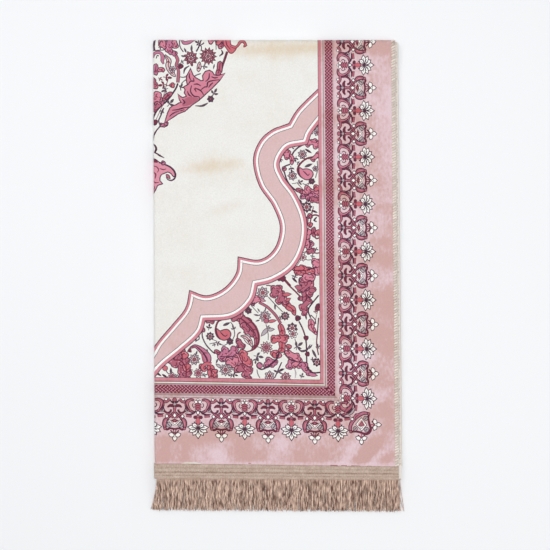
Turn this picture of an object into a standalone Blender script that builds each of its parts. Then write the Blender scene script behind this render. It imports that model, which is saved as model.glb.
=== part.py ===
"""A printed velvet prayer rug, folded in quarters and laid flat.

The rug is one sheet. It is folded lengthwise, pile outwards, along its left side, and the
doubled sheet is then folded crosswise along its top. Four layers result, with both short ends
at the bottom. A woven heading tape with fringe is sewn on the pile of each short end, and
passes round the lengthwise fold with the cloth.

Metres, +Z up. X runs across the rug from the lengthwise fold, Y from the fringe to the cross
fold, and the underside of the lowest layer lies on z = 0.
"""

import math
import random
from collections import namedtuple

import bmesh
import bpy
from mathutils import Vector

# The cloth, seen from above.
HALF_WIDTH_AT_FOLD = 0.3355
HALF_WIDTH_AT_END = 0.3415
LOWER_HALF_EXTRA = 0.0040
HALF_LENGTH = 0.6110
END_SLANT = 0.0020

# Thickness of the velvet, and the air between its layers.
VELVET = 0.0024
PRESSED_VELVET = 0.0014
LAYER_GAP = 0.0006

# The heading tape and its seam.
TAPE = 0.0008
TAPE_WIDTH_AT_FOLD = 0.0210
TAPE_WIDTH_AT_EDGE = 0.0185
TAPE_OVERHANG = 0.0010
SEAM_GAP = 0.0003
TAPE_TO_TAPE = 0.0005
PRESS_START = 0.0360
PRESS_END = 0.0230

# How the layers swell at the folds, and how far from a fold the swelling reaches.
SIDE_SWELL = 0.0009
SIDE_SWELL_REACH = 0.0320
CROSS_SWELL = 0.0015
CROSS_SWELL_REACH = 0.0450

# The fringe.
LOCKS_PER_LAYER = 64
LOCK_LENGTH = 0.0445
LOCK_LENGTH_SPREAD = 0.0018
LOCK_ROOT_FILL = 0.72
LOCK_TIP_FILL = 0.60
LOCK_SWAY = 0.0007
LOCK_LEAN_CURVE = 1.5
LOCK_FIRST_EDGE = 0.0045
LOCK_LAST_EDGE = 0.0012
LOCK_REST_PITCH = 0.0014
FLARE_AT_FOLD = 0.0075
FLARE_AT_EDGE = 0.0028
FLARE_REACH = 0.0900
LOCK_STEPS = (0.45, 1.0)
FRINGE_SEED = 11

# Mesh stations: turns of the two folds, and rows and columns of the flat cloth.
SIDE_TURN_STEPS = 8
CROSS_TURN_STEPS = 8
FLAT_COLUMNS = (0.012, 0.024, 0.039, 0.056, 0.075, 0.100, 0.160, 0.230, 0.305, 0.380,
                0.455, 0.530, 0.605, 0.680, 0.755, 0.835, 0.915, 1.0)
FLAT_ROWS = (0.012, 0.024, 0.040, 0.060, 0.090, 0.130, 0.175, 0.220, 0.265, 0.310,
             0.355, 0.400, 0.440, 0.475, 0.505, 0.530, 0.552)
PRESS_STEPS = 4

# Soft swells of the lying cloth: centre across from the side fold and down from the cross
# fold, half length, half breadth, turn of the long side from X in degrees, and rise.
Swell = namedtuple("Swell", "across down half_long half_broad turn rise")
SWELLS = (
    Swell(0.052, 0.470, 0.110, 0.030, 78.0, 0.0011),
    Swell(0.128, 0.515, 0.090, 0.026, 84.0, 0.0009),
    Swell(0.214, 0.500, 0.120, 0.030, 96.0, 0.0012),
    Swell(0.292, 0.440, 0.150, 0.028, 98.0, 0.0010),
    Swell(0.105, 0.200, 0.120, 0.038, 24.0, 0.0009),
    Swell(0.240, 0.110, 0.140, 0.042, -12.0, 0.0008),
    Swell(0.185, 0.330, 0.130, 0.045, 52.0, 0.0007),
)
SWELL_FADE_START = 0.560
SWELL_FADE_END = 0.586
SIDE_FADE = 0.030
RISE_AT_EDGE = 0.35

# A stack of four layers: height of the lowest layer's middle, half the distance between the
# two layers that the side fold joins, and half the distance between the two inner layers.
Stack = namedtuple("Stack", "base pair inner")
LYING = Stack(
    base=VELVET / 2,
    pair=(VELVET + LAYER_GAP) / 2,
    inner=(VELVET + LAYER_GAP) / 2,
)
SEWN = Stack(
    base=TAPE + SEAM_GAP + PRESSED_VELVET / 2,
    pair=(PRESSED_VELVET + LAYER_GAP) / 2,
    inner=PRESSED_VELVET / 2 + SEAM_GAP + TAPE + TAPE_TO_TAPE / 2,
)
TAPE_LIFT = PRESSED_VELVET / 2 + SEAM_GAP + TAPE / 2

# Ends of the rug: END_1 is the upper pair of layers, END_2 the lower pair. LEVELS gives the
# order from the floor of the layers, by end and by layer of the pair (1 outer, -1 inner).
END_1, END_2 = 1, -1
LEVELS = {(END_2, 1): 0, (END_2, -1): 1, (END_1, -1): 2, (END_1, 1): 3}
# A column across the rug: its layer of the pair (1 outer, -1 inner), the turn of the side
# fold, and its share of the flat width once the turn is complete.
Column = namedtuple("Column", "side turn share")
# A row down the rug: the turn of the cross fold, and the distance down once it is complete.
Row = namedtuple("Row", "turn down")
# A lock of the fringe: its layer, its middle at the root, its pitch, how far its tip leans
# sideways, and its length.
Lock = namedtuple("Lock", "side middle pitch lean length")
HALF_TURN = math.pi
QUARTER_TURN = math.pi / 2

VELVET_PINK = (0.72, 0.51, 0.52, 1.0)
VELVET_ROUGHNESS = 0.85
YARN_BEIGE = (0.47, 0.36, 0.29, 1.0)
YARN_ROUGHNESS = 0.9
SHARP_ANGLE = math.radians(40.0)


def ease(value):
    """A smooth step from 0 to 1."""
    value = min(max(value, 0.0), 1.0)
    return value * value * (3.0 - 2.0 * value)


def blend(low, high, share):
    return low + (high - low) * share


def pressed(down):
    """How far the pile is pressed flat on its way under the heading: 0 to 1."""
    start = HALF_LENGTH - PRESS_START
    return ease((down - start) / (PRESS_START - PRESS_END))


def pair_at(run, down):
    swell = SIDE_SWELL * (1.0 - ease(run / SIDE_SWELL_REACH))
    return blend(LYING.pair, SEWN.pair, pressed(down)) + swell


def inner_at(down):
    swell = CROSS_SWELL * (1.0 - ease(down / CROSS_SWELL_REACH))
    return blend(LYING.inner, SEWN.inner, pressed(down)) + swell


def base_at(down):
    return blend(LYING.base, SEWN.base, pressed(down))


def half_width(side, down):
    share = min(down / HALF_LENGTH, 1.0)
    width = blend(HALF_WIDTH_AT_FOLD, HALF_WIDTH_AT_END, share)
    return width + (LOWER_HALF_EXTRA if side < 0 else 0.0)


def swell_at(across, down):
    """Rise of the top layer at a place, from the table of soft swells."""
    rise = 0.0
    for swell in SWELLS:
        turn = math.radians(swell.turn)
        dx = across - swell.across
        dy = swell.down - down
        along = dx * math.cos(turn) + dy * math.sin(turn)
        beside = dy * math.cos(turn) - dx * math.sin(turn)
        spread = (along / swell.half_long) ** 2 + (beside / swell.half_broad) ** 2
        rise += swell.rise * math.exp(-spread)
    fade_end = 1.0 - ease((down - SWELL_FADE_START) / (SWELL_FADE_END - SWELL_FADE_START))
    fade_cross = ease(down / CROSS_SWELL_REACH)
    fade_fold = ease(across / SIDE_FADE)
    fade_edge = ease((HALF_WIDTH_AT_FOLD - across) / SIDE_FADE + RISE_AT_EDGE)
    return rise * fade_end * fade_cross * fade_fold * fade_edge


def side_fold(column, down, lift):
    """Place across the rug, offset from the middle of the doubled sheet, and half its pitch."""
    nose = pair_at(0.0, down)
    if column.share is None:
        across = nose - (nose + lift) * math.cos(column.turn)
        return across, (nose + lift) * math.sin(column.turn), nose
    across = blend(nose, half_width(column.side, down), column.share)
    pair = pair_at(across - nose, down)
    return across, column.side * (pair + lift), pair


def along_at(across, down):
    """Y of a place on the flat cloth, whose end runs slightly out of square."""
    slant = END_SLANT * across / HALF_WIDTH_AT_END
    return -down - slant * ease(down / HALF_LENGTH)


def place(column, row, lift=0.0):
    """A point of the folded sheet, or of a tape that lies lift above its pile."""
    down = row.down or 0.0
    across, offset, pair = side_fold(column, down, lift)
    inner = inner_at(down)
    middle = 2 * pair + inner
    height = middle + (pair + inner + offset) * math.cos(row.turn)
    height *= 1.0 + swell_at(across, down) / (2 * middle)
    if row.down is None:
        along = (pair + inner + offset) * math.sin(row.turn) - middle
    else:
        along = along_at(across, down)
    return across, along, base_at(down) + height


def side_columns():
    """Columns from the outer layer's edge, round the side fold, to the inner layer's edge."""
    outer = [Column(1, QUARTER_TURN, share) for share in reversed(FLAT_COLUMNS)]
    turn = [
        Column(0, blend(QUARTER_TURN, -QUARTER_TURN, step / SIDE_TURN_STEPS), None)
        for step in range(SIDE_TURN_STEPS + 1)
    ]
    inner = [Column(-1, -QUARTER_TURN, share) for share in FLAT_COLUMNS]
    return outer + turn + inner


def cross_rows():
    """Rows from the fringed end of the upper pair, over the cross fold, to the other end."""
    press = [
        HALF_LENGTH - blend(PRESS_START, PRESS_END, step / PRESS_STEPS)
        for step in range(PRESS_STEPS + 1)
    ]
    downs = list(FLAT_ROWS) + press + [HALF_LENGTH - TAPE_OVERHANG]
    upper = [Row(0.0, down) for down in reversed(downs)]
    turn = [Row(HALF_TURN * step / CROSS_TURN_STEPS, None) for step in range(CROSS_TURN_STEPS + 1)]
    lower = [Row(HALF_TURN, down) for down in downs]
    return upper + turn + lower


def grid(columns, rows):
    """A flat grid of vertices, and for each vertex the indices of its column and row."""
    mesh = bmesh.new()
    bmesh.ops.create_grid(mesh, x_segments=columns - 1, y_segments=rows - 1, size=0.5)
    index = {}
    for vertex in mesh.verts:
        column = round((vertex.co.x + 0.5) * (columns - 1))
        row = round((vertex.co.y + 0.5) * (rows - 1))
        index[vertex] = (column, row)
    return mesh, index


def new_object(name, mesh, material, collection):
    data = bpy.data.meshes.new(name)
    mesh.to_mesh(data)
    mesh.free()
    data.materials.append(material)
    data.shade_smooth()
    data.set_sharp_from_angle(angle=SHARP_ANGLE)
    piece = bpy.data.objects.new(name, data)
    collection.objects.link(piece)
    return piece


def thicken(piece, thickness, group=None):
    solidify = piece.modifiers.new("Thickness", "SOLIDIFY")
    solidify.thickness = thickness
    solidify.offset = 0.0
    if group:
        solidify.vertex_group = group
    return solidify


def cloth_material(name, colour, roughness):
    material = bpy.data.materials.new(name)
    material.use_nodes = True
    shader = material.node_tree.nodes["Principled BSDF"]
    shader.inputs["Base Color"].default_value = colour
    shader.inputs["Roughness"].default_value = roughness
    shader.inputs["Metallic"].default_value = 0.0
    return material


def velvet_rug(collection):
    """The whole rug as one folded sheet, thinner where the heading presses its pile."""
    columns = side_columns()
    rows = cross_rows()
    mesh, index = grid(len(columns), len(rows))
    shares = []
    for vertex in mesh.verts:
        column, row = index[vertex]
        vertex.co = place(columns[column], rows[row])
        shares.append(blend(1.0, PRESSED_VELVET / VELVET, pressed(rows[row].down or 0.0)))
    material = cloth_material("printed_velvet", VELVET_PINK, VELVET_ROUGHNESS)
    rug = new_object("velvet_rug", mesh, material, collection)
    group = rug.vertex_groups.new(name="pile_height")
    for number, share in enumerate(shares):
        group.add([number], share, "REPLACE")
    thicken(rug, VELVET, group.name)
    return rug


def side_locks(side, chance):
    """The locks of one layer, from the side fold to the edge."""
    width = half_width(side, HALF_LENGTH)
    pitch = (width - LOCK_FIRST_EDGE - LOCK_LAST_EDGE) / LOCKS_PER_LAYER
    locks = []
    for number in range(LOCKS_PER_LAYER):
        middle = LOCK_FIRST_EDGE + (number + 0.5) * pitch
        at_fold = max(1.0 - middle / FLARE_REACH, 0.0)
        at_edge = max(1.0 - (width - middle) / FLARE_REACH, 0.0)
        lean = FLARE_AT_EDGE * at_edge ** 2 - FLARE_AT_FOLD * at_fold ** 2
        lean += chance.uniform(-LOCK_SWAY, LOCK_SWAY)
        length = LOCK_LENGTH + chance.uniform(-LOCK_LENGTH_SPREAD, LOCK_LENGTH_SPREAD)
        locks.append(Lock(side, middle, pitch, lean, length))
    return locks


def tape_columns(outer, inner):
    """Columns of a heading, with the lock and the edge that each column belongs to."""
    def flat(side, across):
        nose = pair_at(0.0, HALF_LENGTH)
        share = (across - nose) / (half_width(side, HALF_LENGTH) - nose)
        return Column(side, side * QUARTER_TURN, share)

    def edges(locks, order):
        return [
            (flat(lock.side, lock.middle + edge * LOCK_ROOT_FILL * lock.pitch / 2), lock, edge)
            for lock in locks
            for edge in order
        ]

    turn = [(column, None, 0) for column in side_columns() if column.share is None]
    first = [(Column(1, QUARTER_TURN, 1.0), None, 0)]
    last = [(Column(-1, -QUARTER_TURN, 1.0), None, 0)]
    return first + edges(reversed(outer), (1, -1)) + turn + edges(inner, (-1, 1)) + last


def lock_point(lock, edge, root, rest, step):
    """A point down a lock: it leaves the tape at root and comes down to its rest height."""
    fill = blend(LOCK_ROOT_FILL, LOCK_TIP_FILL, step)
    across = lock.middle + lock.lean * step ** LOCK_LEAN_CURVE + edge * fill * lock.pitch / 2
    along = along_at(across, HALF_LENGTH + lock.length * step)
    return across, along, blend(root, rest, ease(step))


def between_locks(face, index, columns):
    """True for a face below the tape that belongs to no single lock."""
    at = [index[vertex] for vertex in face.verts]
    locks = {id(columns[column][1]) for column, row in at}
    below_tape = min(row for column, row in at) >= 1
    return below_tape and (len(locks) > 1 or columns[at[0][0]][1] is None)


def fringe(name, end, material, collection):
    """A heading tape round one end of the folded rug, with its locks, as one comb."""
    chance = random.Random(FRINGE_SEED + end)
    outer = side_locks(1, chance)
    inner = side_locks(-1, chance)
    columns = tape_columns(outer, inner)
    turn = 0.0 if end == END_1 else HALF_TURN
    mesh, index = grid(len(columns), 2 + len(LOCK_STEPS))
    for vertex in mesh.verts:
        number, row = index[vertex]
        column, lock, edge = columns[number]
        width = blend(TAPE_WIDTH_AT_FOLD, TAPE_WIDTH_AT_EDGE, column.share or 0.0)
        down = HALF_LENGTH - (width if row == 0 else 0.0)
        vertex.co = place(column, Row(turn, down), TAPE_LIFT)
        if row > 1 and lock:
            rest = TAPE / 2 + LEVELS[end, lock.side] * LOCK_REST_PITCH
            vertex.co = lock_point(lock, edge, vertex.co.z, rest, LOCK_STEPS[row - 2])
    gaps = [face for face in mesh.faces if between_locks(face, index, columns)]
    bmesh.ops.delete(mesh, geom=gaps, context="FACES")
    piece = new_object(name, mesh, material, collection)
    thicken(piece, TAPE)
    return piece


def stand_on_origin(pieces):
    """Puts the middle of the underside of the pieces' common box at the origin."""
    bpy.context.view_layer.update()
    graph = bpy.context.evaluated_depsgraph_get()
    corners = [Vector(corner) for piece in pieces for corner in piece.evaluated_get(graph).bound_box]
    middle = [(min(values) + max(values)) / 2 for values in zip(*corners)]
    lowest = min(corner.z for corner in corners)
    for piece in pieces:
        piece.location = (-middle[0], -middle[1], -lowest)


def main():
    for old in list(bpy.data.objects):
        bpy.data.objects.remove(old, do_unlink=True)
    collection = bpy.data.collections.new("prayer_rug")
    bpy.context.scene.collection.children.link(collection)
    yarn = cloth_material("fringe_yarn", YARN_BEIGE, YARN_ROUGHNESS)
    stand_on_origin([
        velvet_rug(collection),
        fringe("fringe_upper_end", END_1, yarn, collection),
        fringe("fringe_lower_end", END_2, yarn, collection),
    ])


main()
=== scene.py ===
import math
import random

import bpy
import numpy as np
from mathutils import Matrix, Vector
from mathutils.geometry import delaunay_2d_cdt


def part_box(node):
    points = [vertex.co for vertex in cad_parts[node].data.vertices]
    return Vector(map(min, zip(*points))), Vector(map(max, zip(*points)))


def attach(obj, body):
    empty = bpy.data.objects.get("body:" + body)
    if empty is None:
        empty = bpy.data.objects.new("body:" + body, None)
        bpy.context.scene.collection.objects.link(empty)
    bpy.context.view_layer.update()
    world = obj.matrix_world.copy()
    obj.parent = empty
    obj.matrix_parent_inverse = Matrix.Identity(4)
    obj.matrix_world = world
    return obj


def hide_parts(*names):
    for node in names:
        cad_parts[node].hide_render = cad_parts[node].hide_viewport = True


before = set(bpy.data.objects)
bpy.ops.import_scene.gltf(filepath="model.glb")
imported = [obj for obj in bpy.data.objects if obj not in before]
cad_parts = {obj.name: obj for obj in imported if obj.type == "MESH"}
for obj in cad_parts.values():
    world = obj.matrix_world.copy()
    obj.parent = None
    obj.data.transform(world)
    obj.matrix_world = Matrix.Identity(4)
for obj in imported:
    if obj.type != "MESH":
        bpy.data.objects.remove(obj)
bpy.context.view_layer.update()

# Lengths below are millimetres, and the meshes are made in metres.
# On the cloth, x runs from the middle line of the print towards a long side, and y from the
# crosswise middle towards a fringed end. The upper layer is x > 0, y > 0.
mm = 0.001

cloth = dict(
    half=341.9,             # half the sheet's width, from the middle of the print
    foldAt=2.0,             # the side fold lies this far from the middle of the print
    widthAtFold=335.5,      # the folded rug across, at the cross fold
    widthAtEnd=341.5,       # and at the fringe
    lowerExtra=4.0,         # the second and third layers reach this much further out
    halfLength=611.0,
    endSlant=2.0,
    foldSlant=2.0,          # how far the side fold runs in towards the fringe
    tapeOverhang=1.0,
    thickness=2.4,
    pressedThickness=1.4,   # under the heading tape
    pressFrom=36.0,         # before the end
    pressTo=23.0,
    sideRun=3.77,           # a quarter of the way round the side fold, along the cloth
    crossRun=7.07,
    crossDepth=6.0,
    sideSwell=0.9,
    sideSwellReach=32.0,
    crossSwell=1.5,
    crossSwellReach=45.0,
    calmEdge=30.0,          # the swells and creases die out towards the edges
    calmFrom=560.0,         # and towards the heading
    calmRun=26.0,
)
hands = ((1, 1), (1, -1), (-1, 1), (-1, -1))    # the signs of x and y in the four quarters
lying = dict(base=1.2, pair=1.5, inner=1.5)     # layer distances in the open cloth
sewn = dict(base=1.8, pair=1.0, inner=2.05)     # and under the heading

# Soft swells and creases: across and down the folded rug, half length, half breadth, turn of
# the long side from x in degrees, rise.
swells = (
    (52, 470, 110, 30, 78, 1.1),
    (128, 515, 90, 26, 84, 0.9),
    (214, 500, 120, 30, 96, 1.2),
    (292, 440, 150, 28, 98, 1),
    (105, 200, 120, 38, 24, 0.9),
    (240, 110, 140, 42, -12, 0.8),
    (185, 330, 130, 45, 52, 0.7),
)
creases = (
    (20, 560, 26, 4.5, 88, 0.45),
    (45, 566, 24, 5, 84, -0.4),
    (78, 560, 30, 6, 92, 0.4),
    (112, 566, 24, 6, 88, -0.3),
    (150, 562, 30, 7, 95, 0.35),
    (205, 565, 26, 8, 84, -0.3),
    (252, 560, 34, 6, 70, 0.45),
    (290, 566, 40, 6, 42, -0.45),
    (312, 562, 44, 5, 46, 0.5),
    (325, 545, 36, 5, 62, -0.35),
    (86, 172, 46, 8, 8, -0.45),
    (92, 190, 50, 8, 10, 0.4),
    (104, 236, 40, 7, 17, -0.3),
    (170, 14, 60, 8, 2, -0.35),
    (318, 238, 26, 5, 6, -0.35),
    (316, 282, 28, 7, -4, -0.4),
    (322, 428, 24, 6, 14, -0.4),
    (318, 140, 30, 9, 20, 0.3),
    (60, 552, 50, 6, 4, -0.3),
    (140, 330, 70, 10, 60, 0.3),
    (60, 300, 60, 9, 70, -0.25),
)


def ease(value):
    value = np.clip(value, 0.0, 1.0)
    return value * value * (3.0 - 2.0 * value)


def between(low, high, share):
    return low + (high - low) * share


def pressedAt(down):
    reach = cloth["pressFrom"] - cloth["pressTo"]
    return ease((down - cloth["halfLength"] + cloth["pressFrom"]) / reach)


def pairAt(run, down):      # half the distance between the two layers of the side fold
    swell = cloth["sideSwell"] * (1.0 - ease(run / cloth["sideSwellReach"]))
    return between(lying["pair"], sewn["pair"], pressedAt(down)) + swell


def innerAt(down):
    swell = cloth["crossSwell"] * (1.0 - ease(down / cloth["crossSwellReach"]))
    return between(lying["inner"], sewn["inner"], pressedAt(down)) + swell


def thicknessAt(down):
    return between(cloth["thickness"], cloth["pressedThickness"], pressedAt(down))


def widthAt(side, down):
    share = np.minimum(down / cloth["halfLength"], 1.0)
    width = between(cloth["widthAtFold"], cloth["widthAtEnd"], share)
    return width + np.where(side < 0, cloth["lowerExtra"], 0.0)


def turned(x, y, degrees):  # along and beside a line at this angle
    angle = math.radians(degrees)
    return x * math.cos(angle) + y * math.sin(angle), y * math.cos(angle) - x * math.sin(angle)


def reliefAt(across, down):
    rise = 0.0
    for x, y, long, broad, turn, height in swells + creases:
        along, beside = turned(across - x, y - down, turn)
        rise = rise + height * np.exp(-(along / long) ** 2 - (beside / broad) ** 2)
    fade = ease(down / cloth["crossSwellReach"]) * ease(across / cloth["calmEdge"])
    fade = fade * ease((cloth["widthAtFold"] - across) / cloth["calmEdge"] + 0.35)
    return rise * fade * (1.0 - ease((down - cloth["calmFrom"]) / cloth["calmRun"]))


def downAt(y):              # how far down the folded rug a place on the cloth lies
    run = np.maximum(np.abs(y) - cloth["crossRun"], 0.0)
    return np.minimum(2.0 * run, cloth["crossDepth"] + run)


def fold(x, y, lift):
    # Places on the cloth to places in the folded rug; lift is off the middle of the cloth.
    x, y, lift = np.broadcast_arrays(*(np.asarray(v, float) for v in (x, y, lift)))
    quarter = math.pi / 2
    u = x - cloth["foldAt"]
    side = np.where(u < 0, -1.0, 1.0)
    run = np.maximum(np.abs(y) - cloth["crossRun"], 0.0)
    down = downAt(y)
    turn = quarter - quarter * np.clip(y / cloth["crossRun"], -1.0, 1.0)
    nose = pairAt(0.0, down)
    atNose = np.abs(u) <= cloth["sideRun"]
    noseTurn = np.clip(u / cloth["sideRun"], -1.0, 1.0) * quarter
    flat = cloth["half"] - side * cloth["foldAt"] - cloth["sideRun"]
    beyondNose = nose + (np.abs(u) - cloth["sideRun"]) / flat * (widthAt(side, down) - nose)
    across = np.where(atNose, nose - (nose + lift) * np.cos(noseTurn), beyondNose)
    pair = np.where(atNose, nose, pairAt(beyondNose - nose, down))
    offset = np.where(atNose, (nose + lift) * np.sin(noseTurn), side * (pair + lift))
    inner = innerAt(down)
    middle = 2.0 * pair + inner
    radius = pair + inner + offset
    height = middle + radius * np.cos(turn)
    height = height * (1.0 + reliefAt(across, down) / (2.0 * middle))
    swollen = 2.0 * pair + innerAt(0.0) - cloth["crossDepth"]
    slant = cloth["endSlant"] * across / cloth["widthAtEnd"] * ease(down / cloth["halfLength"])
    flatY = -cloth["crossDepth"] - run - swollen * (1.0 - ease(run / cloth["crossDepth"])) - slant
    along = np.where(run > 0, flatY, radius * np.sin(turn) - middle)
    base = between(lying["base"], sewn["base"], pressedAt(down))
    drift = cloth["foldSlant"] * down / cloth["halfLength"] * (1.0 - across / cloth["widthAtEnd"])
    return np.stack([across + drift, along, base + height], axis=-1)


rugLow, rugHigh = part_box("velvet_rug")
inset = cloth["thickness"] / 2
home = np.array([rugLow.x / mm + inset, rugHigh.y / mm - inset, 0.0])      # where the two folds meet


def toWorld(points):
    return (points + home) * mm


def linear(*colour):        # a colour in 0 to 255 as Blender's sockets take it
    return tuple(((v / 255 + 0.055) / 1.055) ** 2.4 if v > 10 else v / 3294.6 for v in colour)


# shader helpers
class Wire:                 # a socket that can be added, multiplied and so on
    def __init__(self, paint, socket):
        self.paint = paint
        self.socket = socket

    def __add__(self, other):
        return self.paint.maths("ADD", self, other)

    __radd__ = __add__

    def __sub__(self, other):
        return self.paint.maths("SUBTRACT", self, other)

    def __rsub__(self, other):
        return self.paint.maths("SUBTRACT", other, self)

    def __mul__(self, other):
        return self.paint.maths("MULTIPLY", self, other)

    __rmul__ = __mul__


class Paint:                # one material and its nodes
    def __init__(self, name, roughness, sheen=0.0, sheenRoughness=0.5):
        self.material = bpy.data.materials.new(name)
        self.material.use_nodes = True
        self.tree = self.material.node_tree
        self.shader = self.tree.nodes["Principled BSDF"]
        self.shader.inputs["Roughness"].default_value = roughness
        self.shader.inputs["Specular IOR Level"].default_value = 0.25
        self.shader.inputs["Sheen Weight"].default_value = sheen
        self.shader.inputs["Sheen Roughness"].default_value = sheenRoughness

    def node(self, kind, settings, sockets, out=0):
        node = self.tree.nodes.new(kind)
        for key, value in settings.items():
            setattr(node, key, value)
        for key, value in sockets.items():
            self.put(node.inputs[key], value)
        return Wire(self, node.outputs[out])

    def put(self, socket, value):
        if isinstance(value, Wire):
            self.tree.links.new(value.socket, socket)
        else:
            socket.default_value = value

    def maths(self, operation, first, second):
        return self.node("ShaderNodeMath", {"operation": operation}, {0: first, 1: second})

    def blend(self, share, first, second, how="MIX"):
        settings = {"data_type": "RGBA", "blend_type": how}
        colours = [c if isinstance(c, Wire) else (*c, 1.0) for c in (first, second)]
        return self.node("ShaderNodeMix", settings, {0: share, 6: colours[0], 7: colours[1]}, 2)

    def clamp(self, value, low=0.0, high=1.0):
        return self.node("ShaderNodeClamp", {}, {"Value": value, "Min": low, "Max": high})

    def noise(self, where, scale, detail=2.0, roughness=0.5):
        sockets = {"Vector": where, "Scale": scale, "Detail": detail, "Roughness": roughness}
        return self.node("ShaderNodeTexNoise", {}, sockets)

    def stretch(self, where, x, y, z):
        return self.node("ShaderNodeVectorMath", {"operation": "MULTIPLY"}, {0: where, 1: (x, y, z)})

    def places(self):
        return self.node("ShaderNodeTexCoord", {}, {}, 3)

    def attribute(self, name, out):
        return self.node("ShaderNodeAttribute", {"attribute_name": name}, {}, out)

    def finish(self, colour, height=None, depth=0.0, strength=1.0):
        self.put(self.shader.inputs["Base Color"], colour)
        if height is not None:
            sockets = {"Height": height, "Distance": depth * mm, "Strength": strength}
            bump = self.node("ShaderNodeBump", {}, sockets)
            self.put(self.shader.inputs["Normal"], bump)
        return self.material


# mesh helpers
def newPiece(name, points, faces, materials, faceMaterials=None, sharp=None):
    data = bpy.data.meshes.new(name)
    data.from_pydata([tuple(p) for p in toWorld(np.asarray(points, float))], [], faces)
    for material in materials:
        data.materials.append(material)
    if faceMaterials is not None:
        data.polygons.foreach_set("material_index", np.asarray(faceMaterials, np.int32))
    data.shade_smooth()
    if sharp:
        data.set_sharp_from_angle(angle=math.radians(sharp))
    data.update()
    piece = bpy.data.objects.new(name, data)
    bpy.context.scene.collection.objects.link(piece)
    return piece


def triangleCount(piece):
    return sum(len(p.vertices) - 2 for p in piece.data.polygons)


def setAttribute(data, name, kind, domain, values):
    field = {"FLOAT": "value", "FLOAT_COLOR": "color"}[kind]
    attribute = data.attributes.new(name, kind, domain)
    attribute.data.foreach_set(field, np.asarray(values, np.float32).ravel())


class Yarns:                # many closed tubes in one mesh
    def __init__(self):
        self.points = []
        self.faces = []
        self.shades = []
        self.count = 0

    def add(self, path, radius, sides, shade):
        path = np.asarray(path, float)
        radius = np.broadcast_to(np.asarray(radius, float), len(path))
        heading = np.gradient(path, axis=0)
        heading /= np.linalg.norm(heading, axis=1)[:, None] + 1e-12
        beside = np.cross(heading, [0.0, 0.0, 1.0])
        flat = np.linalg.norm(beside, axis=1) < 1e-3
        beside[flat] = (1.0, 0.0, 0.0)
        beside /= np.linalg.norm(beside, axis=1)[:, None]
        above = np.cross(beside, heading)
        turn = (np.arange(sides) * 2 * math.pi / sides)[None, :, None]
        ring = np.cos(turn) * beside[:, None] + np.sin(turn) * above[:, None]
        points = path[:, None] + ring * radius[:, None, None]
        self.points.append(points.reshape(-1, 3))
        for i in range(len(path) - 1):
            for j in range(sides):
                a = self.count + i * sides + j
                b = self.count + i * sides + (j + 1) % sides
                self.faces.append((a, a + sides, b + sides, b))
        self.faces.append(tuple(self.count + j for j in range(sides)))
        last = self.count + (len(path) - 1) * sides
        self.faces.append(tuple(last + j for j in reversed(range(sides))))
        self.shades += [shade] * (len(path) * sides)
        self.count += len(path) * sides

    def sheet(self, points, faces, shades):
        self.points.append(points)
        self.faces += [tuple(self.count + i for i in face) for face in faces]
        self.shades += shades
        self.count += len(points)

    def piece(self, name, materials):
        piece = newPiece(name, np.concatenate(self.points), self.faces, materials, sharp=60)
        setAttribute(piece.data, "Shade", "FLOAT", "POINT", self.shades)
        return piece


# the print, drawn as flat shapes in painter's order
inks = dict(
    cream=(241, 240, 236),
    ground=(231, 204, 211),
    band=(224, 191, 191),
    pale=(225, 200, 205),
    white=(255, 254, 252),
    blush=(230, 202, 203),
    rose=(184, 104, 124),
    coral=(208, 110, 122),
    pink=(216, 134, 154),
    mauve=(198, 122, 150),
    petal=(224, 150, 168),
    wine=(120, 44, 68),
    plum=(80, 40, 64),
    smoke=(90, 70, 84),
    grey=(188, 176, 182),
    stripe=(214, 139, 152),
    line=(106, 82, 92),
    thread=(136, 120, 120),
    shadow=(190, 152, 162),
    clay=(182, 156, 158),
    braidDark=(108, 34, 58),
    braidLight=(209, 142, 160),
    dusk=(160, 84, 94),
    hem=(206, 186, 176),
)
inkNames = list(inks)


def pairs(points):          # paths are written as x, y, x, y and so on, or are pairs already
    return np.reshape(np.asarray(points, float), (-1, 2))


def smooth(points, closed=False, step=2.2):
    points = pairs(points)
    if len(points) < 3:
        return points
    if closed:
        points = np.concatenate([points[-1:], points, points[:2]])
    else:
        points = np.concatenate([2 * points[:1] - points[1:2], points, 2 * points[-1:] - points[-2:-1]])
    path = []
    for a, b, c, d in zip(points, points[1:], points[2:], points[3:]):
        count = int(np.clip(np.linalg.norm(c - b) / step, 1, 12)) + 1
        for t in np.arange(count) / count:
            path.append(0.5 * (2 * b + (c - a) * t + (2 * a - 5 * b + 4 * c - d) * t * t
                               + (3 * b - a - 3 * c + d) * t * t * t))
    if not closed:
        path.append(points[-2])
    return np.array(path)


def headings(path, closed):
    ahead = np.roll(path, -1, axis=0) - path
    ahead /= np.linalg.norm(ahead, axis=1)[:, None] + 1e-9
    back = np.roll(ahead, 1, axis=0)
    if not closed:
        ahead[-1], back[0] = ahead[-2], ahead[0]
    return back, ahead


def shifted(path, distance, closed=False):
    # The path moved to one side by a distance, with pointed corners.
    back, ahead = headings(path, closed)
    normal = np.stack([back[:, 1] + ahead[:, 1], -back[:, 0] - ahead[:, 0]], axis=1)
    squared = np.maximum((normal ** 2).sum(1), 0.8)[:, None]
    distance = np.reshape(distance, (-1, 1)) if np.ndim(distance) else distance
    return path + normal * 2.0 * distance / squared


def grown(points, amount):
    points = pairs(points)
    x, y = points.T
    area = (x * np.roll(y, -1) - y * np.roll(x, -1)).sum()
    return shifted(points, amount if area > 0 else -amount, closed=True)


def ribbon(path, width):
    # width is one number, or several spread evenly along the path
    path = pairs(path)
    along = np.linspace(0.0, 1.0, len(path))
    half = np.interp(along, np.linspace(0.0, 1.0, np.size(width)), np.atleast_1d(width)) / 2
    return np.concatenate([shifted(path, half), shifted(path, -half)[::-1]])


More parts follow.
